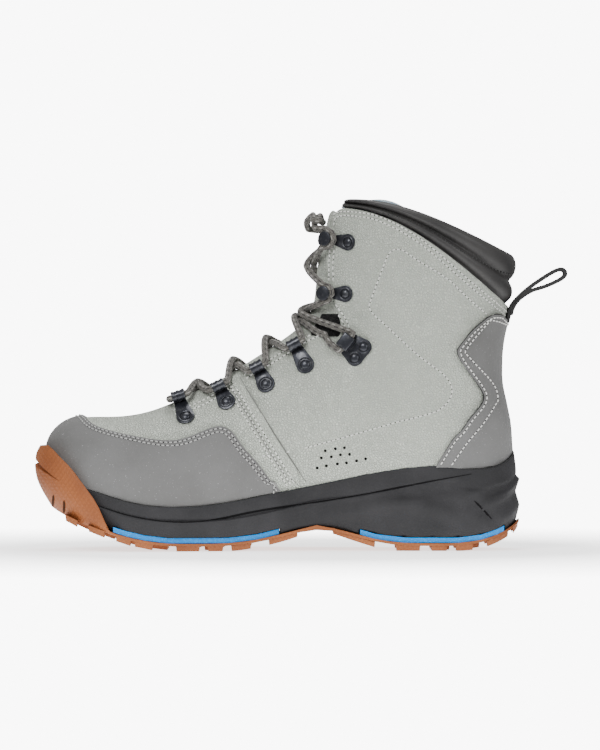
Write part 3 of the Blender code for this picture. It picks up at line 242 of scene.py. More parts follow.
# Outsole: one moulding of gum rubber with lugs, a thin plate and a bumper round the toe, which is turned up
# over the cap. The mould leaves a fine cross-hatch all over, and two slots on each side of the bumper, whose
# shade is painted as dark strips.
GUM_LIGHT = (0.33, 0.105, 0.030)
GUM_DARK = (0.21, 0.060, 0.016)
SLOT_SHADE_TONES = ((0.035, 0.012, 0.004), (0.06, 0.02, 0.007))
HATCH_PITCH = 0.0013
WAVE_PERIOD = 6.3


gum = Finish("gum_rubber", 0.62, specular=0.35)
shade = gum.patched(28, 4, 0.35, 0.7, GUM_LIGHT, GUM_DARK)
hatch = gum.crossed(1 / HATCH_PITCH / WAVE_PERIOD, (0, math.radians(35), 0))
gum.colour(gum.blend(gum.ramp(hatch, (0.75, 0.0), (1.0, 0.35)), shade, GUM_DARK))
gum.bumps((hatch, 0.0004, 0.5), (gum.noise(900, 2), 0.0003, 0.25))


def mottled(name, roughness, specular, shades, scale, detail=2):
    """A plain finish of two shades in fine patches."""
    finish = Finish(name, roughness, specular=specular)
    finish.colour(finish.blend(finish.noise(scale, detail), *shades))
    return finish.material


MERGE = 0.000002
LINE_LIFT = 0.00025
LAY_STEP = 1.5
SIDE_CLEAR = 0.2
SIDE_GUESS = 0.05


def only(obj):
    """Deselects everything, then selects obj and makes it the active one."""
    if bpy.context.object and bpy.context.object.mode != "OBJECT":
        bpy.ops.object.mode_set(mode="OBJECT")
    bpy.ops.object.select_all(action="DESELECT")
    obj.select_set(True)
    bpy.context.view_layer.objects.active = obj
    return obj


def fair_copy(node, name):
    """A merged copy of a CAD node's mesh, with its triangles paired to squares where they can be."""
    mesh = nodes[node].data.copy()
    mesh.materials.clear()
    piece = only(placed(name, mesh))
    bpy.ops.mesh.customdata_custom_splitnormals_clear()
    bpy.ops.object.mode_set(mode="EDIT")
    bpy.ops.mesh.select_all(action="SELECT")
    bpy.ops.mesh.remove_doubles(threshold=MERGE)
    bpy.ops.mesh.tris_convert_to_quads(face_threshold=math.radians(50), shape_threshold=math.radians(70))
    bpy.ops.object.mode_set(mode="OBJECT")
    return piece


def keep_edges(piece, angle, hold):
    """Holds edges sharper than angle, in degrees, so that subdivision leaves them firm."""
    crease = piece.data.attributes.new("crease_edge", "FLOAT", "EDGE")
    form = bmesh.new()
    form.from_mesh(piece.data)
    for edge in form.edges:
        sharp = len(edge.link_faces) == 2 and edge.calc_face_angle() > math.radians(angle)
        crease.data[edge.index].value = hold if sharp else 0.0
    form.free()


def modified(piece, kind, **settings):
    """Gives a piece a modifier and applies it."""
    step = only(piece).modifiers.new(kind.lower(), kind)
    for key, value in settings.items():
        setattr(step, key, value)
    bpy.ops.object.modifier_apply(modifier=step.name)


def subdivided(piece, levels):
    modified(piece, "SUBSURF", levels=levels, render_levels=levels)
    bpy.ops.object.shade_smooth()
    return piece


def smoothed(piece, degrees):
    """Smooth shading over all edges that are flatter than an angle."""
    only(piece)
    bpy.ops.object.shade_smooth_by_angle(angle=math.radians(degrees))


def tree_of(*pieces):
    """A search tree over the faces of one or more pieces."""
    points, faces = [], []
    for piece in pieces:
        start = len(points)
        points += [vertex.co.copy() for vertex in piece.data.vertices]
        faces += [[start + k for k in face.vertices] for face in piece.data.polygons]
    return BVHTree.FromPolygons(points, faces)


def finished(piece, slot_name, material, *replaced):
    piece.data.materials.append(material)
    for node in replaced:
        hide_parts(node)
    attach(piece, "root")
    return piece


def smooth_path(points, step):
    """A rounded line through points, with a place about every step."""
    row = np.array(points, float)
    row = np.vstack([2 * row[0] - row[1], row, 2 * row[-1] - row[-2]])
    path = []
    for a, b, c, d in zip(row, row[1:], row[2:], row[3:]):
        for u in np.linspace(0, 1, max(2, int(np.linalg.norm(c - b) / step) + 1), endpoint=False):
            path.append(
                b + 0.5 * u * ((c - a) + u * (2 * a - 5 * b + 4 * c - d) + u * u * (3 * b - a - 3 * c + d))
            )
    path.append(row[-2])
    return np.array(path)


def seen_at(pixel, side, tree):
    """Where a point of the picture meets the inner (-1) or outer (1) side, and the way out of it there."""
    x, z = from_picture(*pixel)
    return tree.ray_cast(Vector((x, side * SIDE_CLEAR, z)), Vector((0, -side, 0)))[:2]


def laid_line(pixels, side, tree, fill=True):
    """A line of the picture laid on one side. What misses goes to the nearest place, or else is left out."""
    spots, depth = [], side * SIDE_GUESS
    for pixel in smooth_path(pixels, LAY_STEP):
        hit = seen_at(pixel, side, tree)[0]
        if hit is None and fill:
            x, z = from_picture(*pixel)
            hit = tree.find_nearest(Vector((x, depth, z)))[0]
        if hit is not None:
            depth = hit.y
            spots.append(hit)
    return spots


def made(name, points, faces):
    """A new object from its points and faces."""
    mesh = bpy.data.meshes.new(name)
    mesh.from_pydata([tuple(point) for point in points], [], faces)
    return placed(name, mesh)


def outwards(piece):
    """Turns the faces of a closed piece outwards."""
    only(piece)
    bpy.ops.object.mode_set(mode="EDIT")
    bpy.ops.mesh.select_all(action="SELECT")
    bpy.ops.mesh.normals_make_consistent(inside=False)
    bpy.ops.object.mode_set(mode="OBJECT")


def paint_groove_shadows(name, lines, tree, wide, material, slot_name):
    """Painted shade in narrow grooves on both sides: dark closed strips that only just stand clear of the
    surface.
    """
    points, faces = [], []
    for row in [laid_line(line, side, tree) for side in (-1, 1) for line in lines]:
        first, last = len(points), len(points) + 3 * (len(row) - 1)
        for k, spot in enumerate(row):
            near, out, _, _ = tree.find_nearest(spot)
            along = row[min(k + 1, len(row) - 1)] - row[max(k - 1, 0)]
            share = k / (len(row) - 1)
            half = wide * (0.12 + 0.38 * min(1, 5 * share, 5 * (1 - share)))
            across = out.cross(along).normalized() * half
            lift = out * LINE_LIFT
            points += [near + across + lift, near - across + lift, near - out * wide / 2]
        for a in range(first, last, 3):
            b = a + 3
            faces += [(a, a + 1, b + 1, b), (a + 1, a + 2, b + 2, b + 1), (a + 2, a, b, b + 2)]
        faces += [(first, first + 2, first + 1), (last, last + 1, last + 2)]
    strips = made(name, points, faces)
    outwards(strips)
    finished(strips, slot_name, material)


def rise(value, start, run):
    """0 up to start, 1 from start + run on, and an even rise between them."""
    return min(1, max(0, (value - start) / run))


BUMPER_SLOTS = (
    ((56.0, 494), (55.5, 499), (54.0, 506)),
    ((67.0, 499), (67.0, 505), (66.0, 512)),
)
SLOT_WIDTH = 0.0022
BUMPER_RAISE = 0.0040
BUMPER_AHEAD = (0.225, 0.025)
BUMPER_ABOVE = (0.045, 0.018)
outsole = fair_copy("outsole", "gum_outsole")
keep_edges(outsole, 24, 1.0)
subdivided(outsole, 1)
for vertex in outsole.data.vertices:
    ahead, above = rise(-vertex.co.x, *BUMPER_AHEAD), rise(vertex.co.z, *BUMPER_ABOVE)
    vertex.co.z += BUMPER_RAISE * ahead * ahead * (3 - 2 * ahead) * above * above * (3 - 2 * above)
smoothed(outsole, 32)
finished(outsole, "gum_rubber", gum.material, "outsole")
# Painted shade in the bumper's slots: dark strips laid along them.
painted_slot_shade = mottled("painted_slot_shade", 0.9, 0.1, SLOT_SHADE_TONES, 400)
paint_groove_shadows("bumper_slot_shadows", BUMPER_SLOTS, tree_of(outsole), SLOT_WIDTH, painted_slot_shade, "gum_rubber")

# Blue layers: two bright plates of speckled rubber, let into the midsole from below and bonded there. Their
# solids have the right shape already, so they only get this finish.
BLUE_BRIGHT = (0.001, 0.200, 0.60)
BLUE_SPECK = (0.02, 0.33, 0.78)
blue = Finish("blue_rubber", 0.6, specular=0.2)
blue.colour(blue.patched(1400, 2, 0.5, 0.68, BLUE_BRIGHT, BLUE_SPECK))
blue.bumps((blue.noise(700, 2), 0.0003, 0.3))
for node in ("blue_plate_fore", "blue_plate_heel"):
    nodes[node].data.materials.clear()
    nodes[node].data.materials.append(blue.material)

# Midsole: a cup of charcoal foam that the upper sits in, moulded in one with a fine pebble grain. A long
# groove runs along each side, with its shade painted as a dark line, and low folds run forward from the
# bulged heel.
CHARCOAL = (0.0150, 0.0150, 0.0165)
CHARCOAL_WORN = (0.0275, 0.027, 0.0295)
GROOVE_SHADE_TONES = ((0.0035, 0.0035, 0.0038), (0.006, 0.006, 0.0065))
GROOVE_WIDTH = 0.0013
PRESS_STEP = 4.0
RIDGE_SHARE = 0.30
RIDGE_AWAY = 1.6
END_SHARE = 0.1
END_RUN = 0.35


def press(piece, pixels, depth, width, straight=False):
    """Presses a soft trough, with low ridges beside it, into both sides of a piece.

    It goes in along the surface's own direction, or straight across the boot where that is asked for.
    """
    count = len(piece.data.vertices)
    place = np.empty(count * 3)
    piece.data.vertices.foreach_get("co", place)
    place = place.reshape(-1, 3)
    if straight:
        way = np.stack([np.zeros(count), np.sign(place[:, 1]), np.zeros(count)], axis=1)
    else:
        way = np.array([vertex.normal[:] for vertex in piece.data.vertices])
    line = np.array([from_picture(*spot) for spot in smooth_path(pixels, PRESS_STEP)])
    flat = place[:, (0, 2)]
    gap = np.full(count, 1.0)
    for a, b in zip(line, line[1:]):
        share = np.clip((flat - a) @ (b - a) / ((b - a) @ (b - a)), 0, 1)
        gap = np.minimum(gap, np.linalg.norm(flat - a - share[:, None] * (b - a), axis=1))
    ends = np.minimum(*(np.linalg.norm(flat - spot, axis=1) for spot in (line[0], line[-1])))
    away = gap / width
    shape = np.exp(-away * away) - RIDGE_SHARE * np.exp(-((away - RIDGE_AWAY) ** 2) * 3)
    place -= way * (depth * shape * np.clip(END_SHARE + ends / width * END_RUN, 0, 1))[:, None]
    piece.data.vertices.foreach_set("co", place.ravel())
    piece.data.update()


MIDSOLE_LINES = (
    (((514, 487), (494, 492), (472, 500)), 0.0028, 0.0034),
    (((470, 500), (480, 508), (492, 520)), 0.0028, 0.0034),
    (((330, 514), (362, 508), (392, 503), (430, 507), (466, 520)), -0.0020, 0.0042),
    (((385, 495), (430, 489), (462, 487)), 0.0016, 0.0036),
)
GROOVE_LINES = (
    ((101, 504), (130, 513), (163, 519), (195, 520), (220, 517), (250, 511), (280, 506), (330, 499),
     (380, 490), (425, 481), (470, 473)),
    ((472.5, 499.5), (480, 507), (490, 518)),
)
midsole = fair_copy("midsole", "foam_midsole")
keep_edges(midsole, 32, 0.8)
subdivided(midsole, 2)
for line, depth, width in MIDSOLE_LINES:
    press(midsole, line, depth, width, straight=True)
foam = Finish("charcoal_foam", 0.66, specular=0.3)
foam.colour(foam.patched(35, 3, 0.35, 0.75, CHARCOAL, CHARCOAL_WORN))
pebble = foam.texture("ShaderNodeTexVoronoi", 900)
foam.bumps((pebble, 0.00035, 0.45), (foam.noise(260, 3), 0.0004, 0.2))
finished(midsole, "charcoal_foam", foam.material, "midsole")
foam_tree = tree_of(midsole)
# Painted shade in the midsole's groove: a dark line laid in it.
painted_groove_shade = mottled("painted_groove_shade", 0.9, 0.1, GROOVE_SHADE_TONES, 400)
paint_groove_shadows("midsole_groove_shadows", GROOVE_LINES, foam_tree, GROOVE_WIDTH, painted_groove_shade, "charcoal_foam")

# Upper: vamp and quarters of pale grained leather, lasted as one hollow wall with a cloth lining inside. A
# raised leather strip covers the seam between vamp and quarter on each side.
LEATHER_PALE = (0.578, 0.612, 0.540)
LEATHER_COOL = (0.520, 0.553, 0.488)
LEATHER_CREVICE_SHADE = (0.26, 0.275, 0.245)
# Black painted shade for the notch beside the tongue, where the inside of the boot shows.
NOTCH_SHADE_BLACK = (0.008, 0.008, 0.008)


def grained_leather(name, black_where=None):
    """Pale leather with a pebble grain and painted shade in its crevices, black as painted shade where the
    named attribute is full.
    """
    finish = Finish(name, 0.52, specular=0.4)
    grain = finish.texture("ShaderNodeTexVoronoi", 620, feature="DISTANCE_TO_EDGE")
    grain = finish.ramp(grain, (0.0, 0.0), (0.22, 1.0))
    wrinkle = finish.noise(160, 6)
    shade = finish.patched(18, 3, 0.35, 0.7, LEATHER_PALE, LEATHER_COOL)
    # Painted shade: the crevices between the grain's pebbles are darkened.
    shade = finish.blend(finish.ramp(grain, (0.0, 0.28), (1.0, 0.0)), shade, LEATHER_CREVICE_SHADE)
    if black_where:
        mask = finish.nodes.new("ShaderNodeAttribute")
        mask.attribute_name = black_where
        full = finish.ramp(mask.outputs["Fac"], (0.35, 0.0), (0.6, 1.0))
        shade = finish.blend(full, shade, NOTCH_SHADE_BLACK)
    finish.colour(shade)
    finish.bumps((grain, 0.00075, 0.9), (wrinkle, 0.0022, 0.6))
    finish.roughness(finish.ramp(wrinkle, (0.3, 0.46), (0.7, 0.6)))
    return finish.material


CREASES = (
    (((204, 398), (209, 411), (216, 426)), 0.0007, 0.0040),
    (((233, 393), (238, 405), (247, 420)), 0.0005, 0.0036),
    (((346, 331), (362, 341), (382, 351), (400, 353)), 0.0006, 0.0040),
    (((470, 324), (484, 333), (500, 337)), 0.0005, 0.0034),
    (((412, 300), (432, 310), (450, 313)), 0.0004, 0.0046),
)
LINING_BLUE = (0.20, 0.30, 0.38)
LINING_PALE = (0.42, 0.47, 0.50)
FOOT_LINE = ((-0.25, 0.045), (-0.13, 0.055), (-0.05, 0.072), (-0.015, 0.12), (-0.015, 0.26))


def heather_cloth(name, low, high, first, second, threads, relief):
    """Matt cloth of two mixed shades."""
    finish = Finish(name, 0.9, sheen=0.2)
    finish.colour(finish.patched(900, 2, low, high, first, second))
    finish.bumps((finish.noise(threads, 2), 0.0003, relief))
    return finish.material


def looks_inwards(face):
    """Whether a face of the upper looks at the foot, that is, towards the line through its middle."""
    spot = face.center
    here = Vector((spot.x, spot.z))
    best = None
    for a, b in zip(FOOT_LINE, FOOT_LINE[1:]):
        a, b = Vector(a), Vector(b)
        share = min(1, max(0, (here - a).dot(b - a) / (b - a).length_squared))
        near = a + (b - a) * share
        if best is None or (here - near).length < best[0]:
            best = ((here - near).length, Vector((spot.x - near.x, spot.y, spot.z - near.y)))
    return face.normal.dot(best[1].normalized()) < -0.2


def lined(piece):
    """Gives the faces of a finished piece that look at the foot the lining's cloth."""
    piece.data.materials.append(lining)
    for face in piece.data.polygons:
        if looks_inwards(face):
            face.material_index = 1


lining = heather_cloth("lining_cloth", 0.42, 0.58, LINING_BLUE, LINING_PALE, 1300, 0.4)
leather = grained_leather("grained_leather")
upper = fair_copy("upper", "leather_upper")
keep_edges(upper, 55, 0.75)
subdivided(upper, 2)
for line, depth, width in CREASES:
    press(upper, line, depth, width)
finished(upper, "pale_leather", leather, "upper")
lined(upper)
skin = tree_of(upper)

seam_strips = []
for side_name in ("inner", "outer"):
    strip = fair_copy(f"seam_strip_{side_name}", f"seam_strip_leather_{side_name}")
    smoothed(strip, 40)
    seam_strips.append(finished(strip, "pale_leather", leather, f"seam_strip_{side_name}"))

# Toe cap and heel counter: overlays of grey nubuck with a fine nap, cut to shape and sewn on the upper. The
# cut edge shows pale round the cap and dark round the counter.
NUBUCK = (0.160, 0.160, 0.158)
NUBUCK_DARK = (0.122, 0.121, 0.118)
OVERLAY_THICKNESS = 0.0016
EDGE_ROUND = 0.0005
PINCH_ROUNDS = 6
SHEET_STANDS_OFF = 0.0008
PALE_EDGE = (0.30, 0.30, 0.29)
DARK_EDGE = (0.035, 0.035, 0.035)


def outer_sheet(node, name):
    """The outer face of an overlay as an open sheet: the faces that stand off the upper and look outwards."""
    sheet = fair_copy(node, name)
    form = bmesh.new()
    form.from_mesh(sheet.data)
    inner = []
    for face in form.faces:
        spot = face.calc_center_median()
        near, normal, _, gap = skin.find_nearest(spot)
        if face.normal.dot(normal) < 0.5 or gap < SHEET_STANDS_OFF:
            inner.append(face)
    bmesh.ops.delete(form, geom=inner, context="FACES")
    for _ in range(PINCH_ROUNDS):
        pinched = [v for v in form.verts if sum(edge.is_boundary for edge in v.link_edges) > 2]
        stray = {face for v in pinched for face in v.link_faces if sum(e.is_boundary for e in face.edges) > 1}
        bmesh.ops.delete(form, geom=list(stray), context="FACES")
        if not pinched:
            break
    form.to_mesh(sheet.data)
    form.free()
    return sheet


def overlay(node, edge_name, edge_colour):
    """A sewn overlay, with a search tree over its face and the line of its edge."""
    sheet = subdivided(outer_sheet(node, f"{node}_nubuck"), 2)
    face, rim = tree_of(sheet), border_points(sheet)
    finished(sheet, "grey_nubuck", nubuck.material, node)
    shades = (edge_colour, tuple(0.8 * part for part in edge_colour))
    sheet.data.materials.append(mottled(edge_name, 0.8, 0.2, shades, 300))
    modified(sheet, "SOLIDIFY", thickness=OVERLAY_THICKNESS, offset=-1, material_offset_rim=1)
    modified(sheet, "BEVEL", width=EDGE_ROUND, segments=2, limit_method="ANGLE", angle_limit=math.radians(60))
    smoothed(sheet, 50)
    return sheet, face, rim


def border_points(sheet):
    """The points round an open sheet's edge, in order, as lists of positions."""
    form = bmesh.new()
    form.from_mesh(sheet.data)
    ahead = {}
    for edge in form.edges:
        if edge.is_boundary:
            a, b = (loop.vert.index for loop in (edge.link_loops[0], edge.link_loops[0].link_loop_next))
            ahead[a] = b
    places = {vertex.index: vertex.co.copy() for vertex in form.verts}
    form.free()
    loops = []
    while ahead:
        start = next(iter(ahead))
        ring = [start]
        while ring[-1] in ahead:
            ring.append(ahead.pop(ring[-1]))
        loops.append([places[k] for k in ring])
    return max(loops, key=len)


nubuck = Finish("grey_nubuck", 0.8, sheen=0.15, specular=0.25)
shade = nubuck.patched(24, 4, 0.35, 0.72, NUBUCK, NUBUCK_DARK)
speckle = nubuck.ramp(nubuck.noise(1100, 1), (0.70, 0.0), (0.78, 0.5))
nubuck.colour(nubuck.blend(speckle, shade, (0.5, 0.5, 0.5)))
nubuck.bumps((nubuck.noise(420, 5), 0.0007, 0.5))
toe_cap, cap_face, cap_rim = overlay("toe_cap", "pale_edge", PALE_EDGE)
counter, counter_face, counter_rim = overlay("heel_counter", "dark_edge", DARK_EDGE)

# Collar: two foam rolls in smooth black cloth, sewn together along a crease and to the quarters' top. The
# cloth lining starts on its inner face, and its outer side stands a little higher at the front.
COLLAR_BLACK = (0.030, 0.029, 0.029)
COLLAR_WORN = (0.048, 0.046, 0.045)
COLLAR_SWELL = 0.0042
SWELL_AT = -0.033
SWELL_RUN = 0.016
SWELL_ACROSS = (0, 0.012)
SWELL_ABOVE = (0.19, 0.03)
black_cloth = Finish("collar_cloth", 0.48, specular=0.35)
black_cloth.colour(black_cloth.patched(40, 4, 0.4, 0.75, COLLAR_BLACK, COLLAR_WORN))
black_cloth.bumps((black_cloth.noise(220, 5), 0.0005, 0.25))
collar = subdivided(fair_copy("collar", "padded_collar"), 2)
for vertex in collar.data.vertices:
    share = math.exp(-((vertex.co.x - SWELL_AT) / SWELL_RUN) ** 2) * rise(vertex.co.y, *SWELL_ACROSS)
    vertex.co.z += COLLAR_SWELL * share * rise(vertex.co.z, *SWELL_ABOVE)
finished(collar, "black_padding", black_cloth.material, "collar")
lined(collar)

# Tongue: a padded strip of the same leather under the lace, sewn in at its foot. The shade inside the boot,
# seen through the notch beside it, is painted as a black place on the tongue.
NOTCH_SHADE_SIDE = (0.0135, 0.003)
NOTCH_SHADE_LOW = 0.139
NOTCH_SHADE_HIGH = 0.1560
NOTCH_SHADE_FRONT = -0.086
NOTCH_SHADE_FADE = 0.002
tongue = subdivided(fair_copy("tongue", "padded_tongue"), 3)
finished(tongue, "tongue_leather", grained_leather("tongue_leather", "notch_shade"), "tongue")
# Painted shade: where the tongue shows through the notch, it is coloured black.
notch_shade = tongue.data.attributes.new("notch_shade", "FLOAT", "POINT")
for vertex in tongue.data.vertices:
    x, y, z = vertex.co
    notch_shade.data[vertex.index].value = min(
        rise(abs(y), *NOTCH_SHADE_SIDE), rise(z, NOTCH_SHADE_LOW, NOTCH_SHADE_FADE),
        rise(-z, -NOTCH_SHADE_HIGH, NOTCH_SHADE_FADE), rise(x, NOTCH_SHADE_FRONT, NOTCH_SHADE_FADE),
    )

# Insole: a foam footbed with a dark cloth face, cut to the inside of the midsole. It lies loose in the boot
# and can be taken out.
INSOLE_DARK = (0.10, 0.11, 0.13)
INSOLE_PALE = (0.16, 0.18, 0.20)
insole = fair_copy("insole", "cloth_insole")
keep_edges(insole, 55, 0.6)
subdivided(insole, 2)
insole_cloth = heather_cloth("insole_cloth", 0.4, 0.6, INSOLE_DARK, INSOLE_PALE, 1200, 0.5)
finished(insole, "insole_foam", insole_cloth, "insole")

# Sewing: off-white thread in small straight stitches along the edges of every panel, in single and double
# rows, with a needle hole between two stitches whose shade is painted as a dark dot. Rows are drawn as they
# run in the picture and laid on both sides of the boot.
THREAD_RADIUS = 0.00042
STITCH_PITCH = 0.0031
STITCH_LENGTH = 0.0026
COLLAR_STITCH = 0.0024
EDGE_LINE = 0.0009
STITCH_SIDES = 5
STITCH_BOW = ((-0.30, 0.55), (0.0, 0.95), (0.30, 0.55))
HOLE_RADIUS = 0.00042
HOLE_TOP = 0.22
HOLE_RIM = 0.12
SOLE_CLEAR = 0.0022
CAP_ROWS_IN = (0.0017, 0.0040)
COUNTER_ROW_IN = 0.0019
ROW_APART = 4.0
QUARTER_LOOP = (
    (484, 314), (464, 297), (445, 279.5), (415, 261), (402, 252), (394, 251), (389.5, 253.5), (386, 259),
    (376.5, 284), (369.5, 303), (369, 308), (372, 314), (386, 327), (415, 354), (440, 373), (448, 382),
    (450.5, 391), (448, 399), (441, 407), (432, 412), (407, 419), (398, 421), (346, 436), (306, 447),
)
QUARTER_LOOP_AHEAD = ((288, 451), (276, 454), (264, 455))
QUARTER_TOP = (
    (330, 224), (332, 217), (338, 213.5), (350, 213), (380, 219), (420, 241.5), (470, 283.5), (506, 312),
)
EYESTAY_TOP = ((334, 252), (333, 264), (333, 280))
NOTCH_BACK = ((334, 303), (345, 319), (350, 331))
VAMP_THROAT = ((176, 410), (196, 404), (214, 395), (232, 387))
QUARTER_THROAT = ((246, 374), (272, 359), (300, 341), (322, 330))
STRIP_FRONT = ((233, 382), (262, 429), (293, 480))
STRIP_EDGES = (((228.5, 383), (258, 431), (288.5, 481)), ((240, 377), (272, 429), (306, 481)))
COUNTER_LINE = (
    (507, 325), (492, 321), (486, 324), (464.5, 350), (468, 358), (491, 383), (496.5, 398), (493, 406),
    (481, 424), (465, 443), (451, 463),
)
COLLAR_CREASE = ((345, 208), (372, 213), (400, 220), (430, 234), (460, 253), (490, 269), (508, 274.5))


def even(points, pitch):
    """Places a pitch apart along a line of close points."""
    row = np.array(points, float)
    run = np.concatenate([[0], np.cumsum(np.linalg.norm(np.diff(row, axis=0), axis=1))])
    spots = np.linspace(0, run[-1], max(2, int(run[-1] / pitch) + 1))
    return np.stack([np.interp(spots, run, row[:, k]) for k in range(3)], axis=1)


def beside(pixels, distance):
    """The same line of the picture, a distance in pixels to its left."""
    row = smooth_path(pixels, 2.0)
    ahead = np.gradient(row, axis=0)
    across = np.stack([ahead[:, 1], -ahead[:, 0]], axis=1)
    return row + across / np.linalg.norm(across, axis=1, keepdims=True) * distance


def inside_rim(rim, tree, distance):
    """Lines that follow an overlay's edge, a distance in from it, where it is clear of the midsole."""
    rows, row = [], []
    count = len(rim)
    for k, point in enumerate(rim):
        ahead = rim[(k + 2) % count] - rim[k - 2]
        if foam_tree.find_nearest(point)[3] <= SOLE_CLEAR or ahead.length < MERGE:
            if len(row) > 6:
                rows.append(row)
            row = []
            continue
        normal = tree.find_nearest(point)[1]
        spot = tree.find_nearest(point + normal.cross(ahead).normalized() * distance)[0]
        if not row or (spot - row[-1]).length > distance / 6:
            row.append(spot)
    if len(row) > 6:
        rows.append(row)
    return rows


def thread_finish(name, colour):
    finish = Finish(name, 0.6, sheen=0.2)
    twist = finish.noise(2600, 2)
    ply = finish.ramp(twist, (0.35, 0.0), (0.65, 1.0))
    finish.colour(finish.blend(ply, colour, tuple(0.72 * part for part in colour)))
    finish.bumps((twist, 0.0001, 0.4))
    return finish.material


def joined(name, points, faces, material, slot_name):
    piece = made(name, points, faces)
    piece.data.shade_smooth()
    finished(piece, slot_name, material)


def ring_round(middle, across, up, radius, sides):
    """Places on a circle round a middle."""
    turns = np.arange(sides) * 2 * math.pi / sides
    return [middle + (across * math.cos(turn) + up * math.sin(turn)) * radius for turn in turns]


def sew(name, rows, tree, material, slot_name, length=STITCH_LENGTH):
    """Stitches along rows of points on a surface, as one mesh. It gives the places of their needle holes."""
    points, faces, needle_holes = [], [], []
    for row in rows:
        spots = even(row, STITCH_PITCH)
        for k, spot in enumerate(spots):
            ahead = Vector(spots[min(k + 1, len(spots) - 1)] - spots[max(k - 1, 0)]).normalized()
            here, normal, _, _ = tree.find_nearest(Vector(spot))
            across = normal.cross(ahead).normalized()
            ahead = across.cross(normal)
            start = len(points)
            points.append(here - ahead * length / 2 - normal * THREAD_RADIUS)
            for shift, lift in STITCH_BOW:
                middle = here + ahead * shift * length + normal * THREAD_RADIUS * lift
                points += ring_round(middle, across, normal, THREAD_RADIUS, STITCH_SIDES)
            points.append(here + ahead * length / 2 - normal * THREAD_RADIUS)
            last = len(points) - 1
            for j in range(STITCH_SIDES):
                n = (j + 1) % STITCH_SIDES
                faces.append((start, start + 1 + n, start + 1 + j))
                for ring in (0, 1):
                    a = start + 1 + ring * STITCH_SIDES
                    faces.append((a + j, a + n, a + n + STITCH_SIDES, a + j + STITCH_SIDES))
                faces.append((last, last - STITCH_SIDES + j, last - STITCH_SIDES + n))
            if k:
                needle_holes.append(Vector((spots[k] + spots[k - 1]) / 2))
    joined(name, points, faces, material, slot_name)
    return needle_holes


def paint_hole_shades(name, places, tree, radius, slot_name, sides=6):
    """Painted shade in small holes in a surface: low dark closed cones that only just stand clear of it."""
    points, faces = [], []
    for place in places:
        here, normal, _, _ = tree.find_nearest(place)
        across = normal.orthogonal().normalized()
        start = len(points)
        points += [here + normal * radius * HOLE_TOP, here - normal * radius]
        points += ring_round(here + normal * radius * HOLE_RIM, across, normal.cross(across), radius, sides)
        for j in range(sides):
            a, b = start + 2 + j, start + 2 + (j + 1) % sides
            faces += [(start, a, b), (start + 1, b, a)]
    joined(name, points, faces, hole_shade_material, slot_name)


cover = tree_of(upper, toe_cap, counter, *seam_strips)
pale_thread = thread_finish("pale_thread", (0.96, 0.96, 0.92))
grey_thread = thread_finish("grey_thread", (0.50, 0.50, 0.49))
black_thread = thread_finish("black_thread", (0.010, 0.010, 0.010))
# Near-black finish for the painted shade in holes.
hole_shade_material = mottled("painted_hole_shade", 0.95, 0.1, ((0.004, 0.004, 0.004), (0.010, 0.010, 0.009)), 500, 1)

panel_rows, counter_rows = [], []
for side in (-1, 1):
    rows = [(QUARTER_LOOP, skin), (QUARTER_LOOP_AHEAD, skin)]
    for line in (QUARTER_TOP, EYESTAY_TOP, NOTCH_BACK, VAMP_THROAT, QUARTER_THROAT):
        rows += [(beside(line, -row * ROW_APART), skin) for row in range(2)]
    rows += [(beside(STRIP_FRONT, -row * ROW_APART * 0.95), cover) for row in range(3)]
    panel_rows += [laid_line(line, side, tree, fill=False) for line, tree in rows]
    counter_rows.append(laid_line(COUNTER_LINE, side, counter_face, fill=False))
panel_rows = [row for row in panel_rows if len(row) > 3]
panel_holes = sew("panel_stitches", panel_rows, cover, pale_thread, "pale_leather")
# Painted shade of the needle holes between the stitches.
paint_hole_shades("needle_holes", panel_holes, cover, HOLE_RADIUS, "pale_leather")

cap_rows = [row for distance in CAP_ROWS_IN for row in inside_rim(cap_rim, cap_face, distance)]
counter_rows += inside_rim(counter_rim, counter_face, COUNTER_ROW_IN)
overlay_holes = sew("cap_stitches", cap_rows, tree_of(toe_cap), grey_thread, "grey_nubuck")
overlay_holes += sew("counter_stitches", counter_rows, tree_of(counter), pale_thread, "grey_nubuck")
# Painted shade of the needle holes round the overlays.
paint_hole_shades("overlay_needle_hole_shadows", overlay_holes, cover, HOLE_RADIUS, "grey_nubuck")

collar_tree = tree_of(collar)
crease_rows = [laid_line(COLLAR_CREASE, side, collar_tree, fill=False) for side in (-1, 1)]
sew("collar_stitches", crease_rows, collar_tree, black_thread, "black_padding", length=COLLAR_STITCH)

# Painted shade along both edges of each raised seam strip: thin dark lines.
painted_seam_shade = mottled("painted_seam_shade", 0.8, 0.2, ((0.15, 0.155, 0.14), (0.20, 0.205, 0.19)), 300)
paint_groove_shadows("strip_edge_shadows", STRIP_EDGES, cover, EDGE_LINE, painted_seam_shade, "pale_leather")

# Drain holes: small round holes punched through the quarter above the arch, on both sides. The shade in each
# is painted as a low dark cone that only just stands clear of the leather.
DRAIN_RADIUS = 0.00098
DRAIN_HOLES = (
    (325, 450), (335, 448), (344, 447), (321, 457), (331, 456), (340, 454), (349, 453.5), (317, 467),
    (326, 465), (337, 463), (346, 462), (356, 460), (365, 458),
)
drains = [seen_at(hole, side, skin)[0] for side in (-1, 1) for hole in DRAIN_HOLES]
paint_hole_shades("drain_hole_shadows", drains, skin, DRAIN_RADIUS, "pale_leather", sides=12)

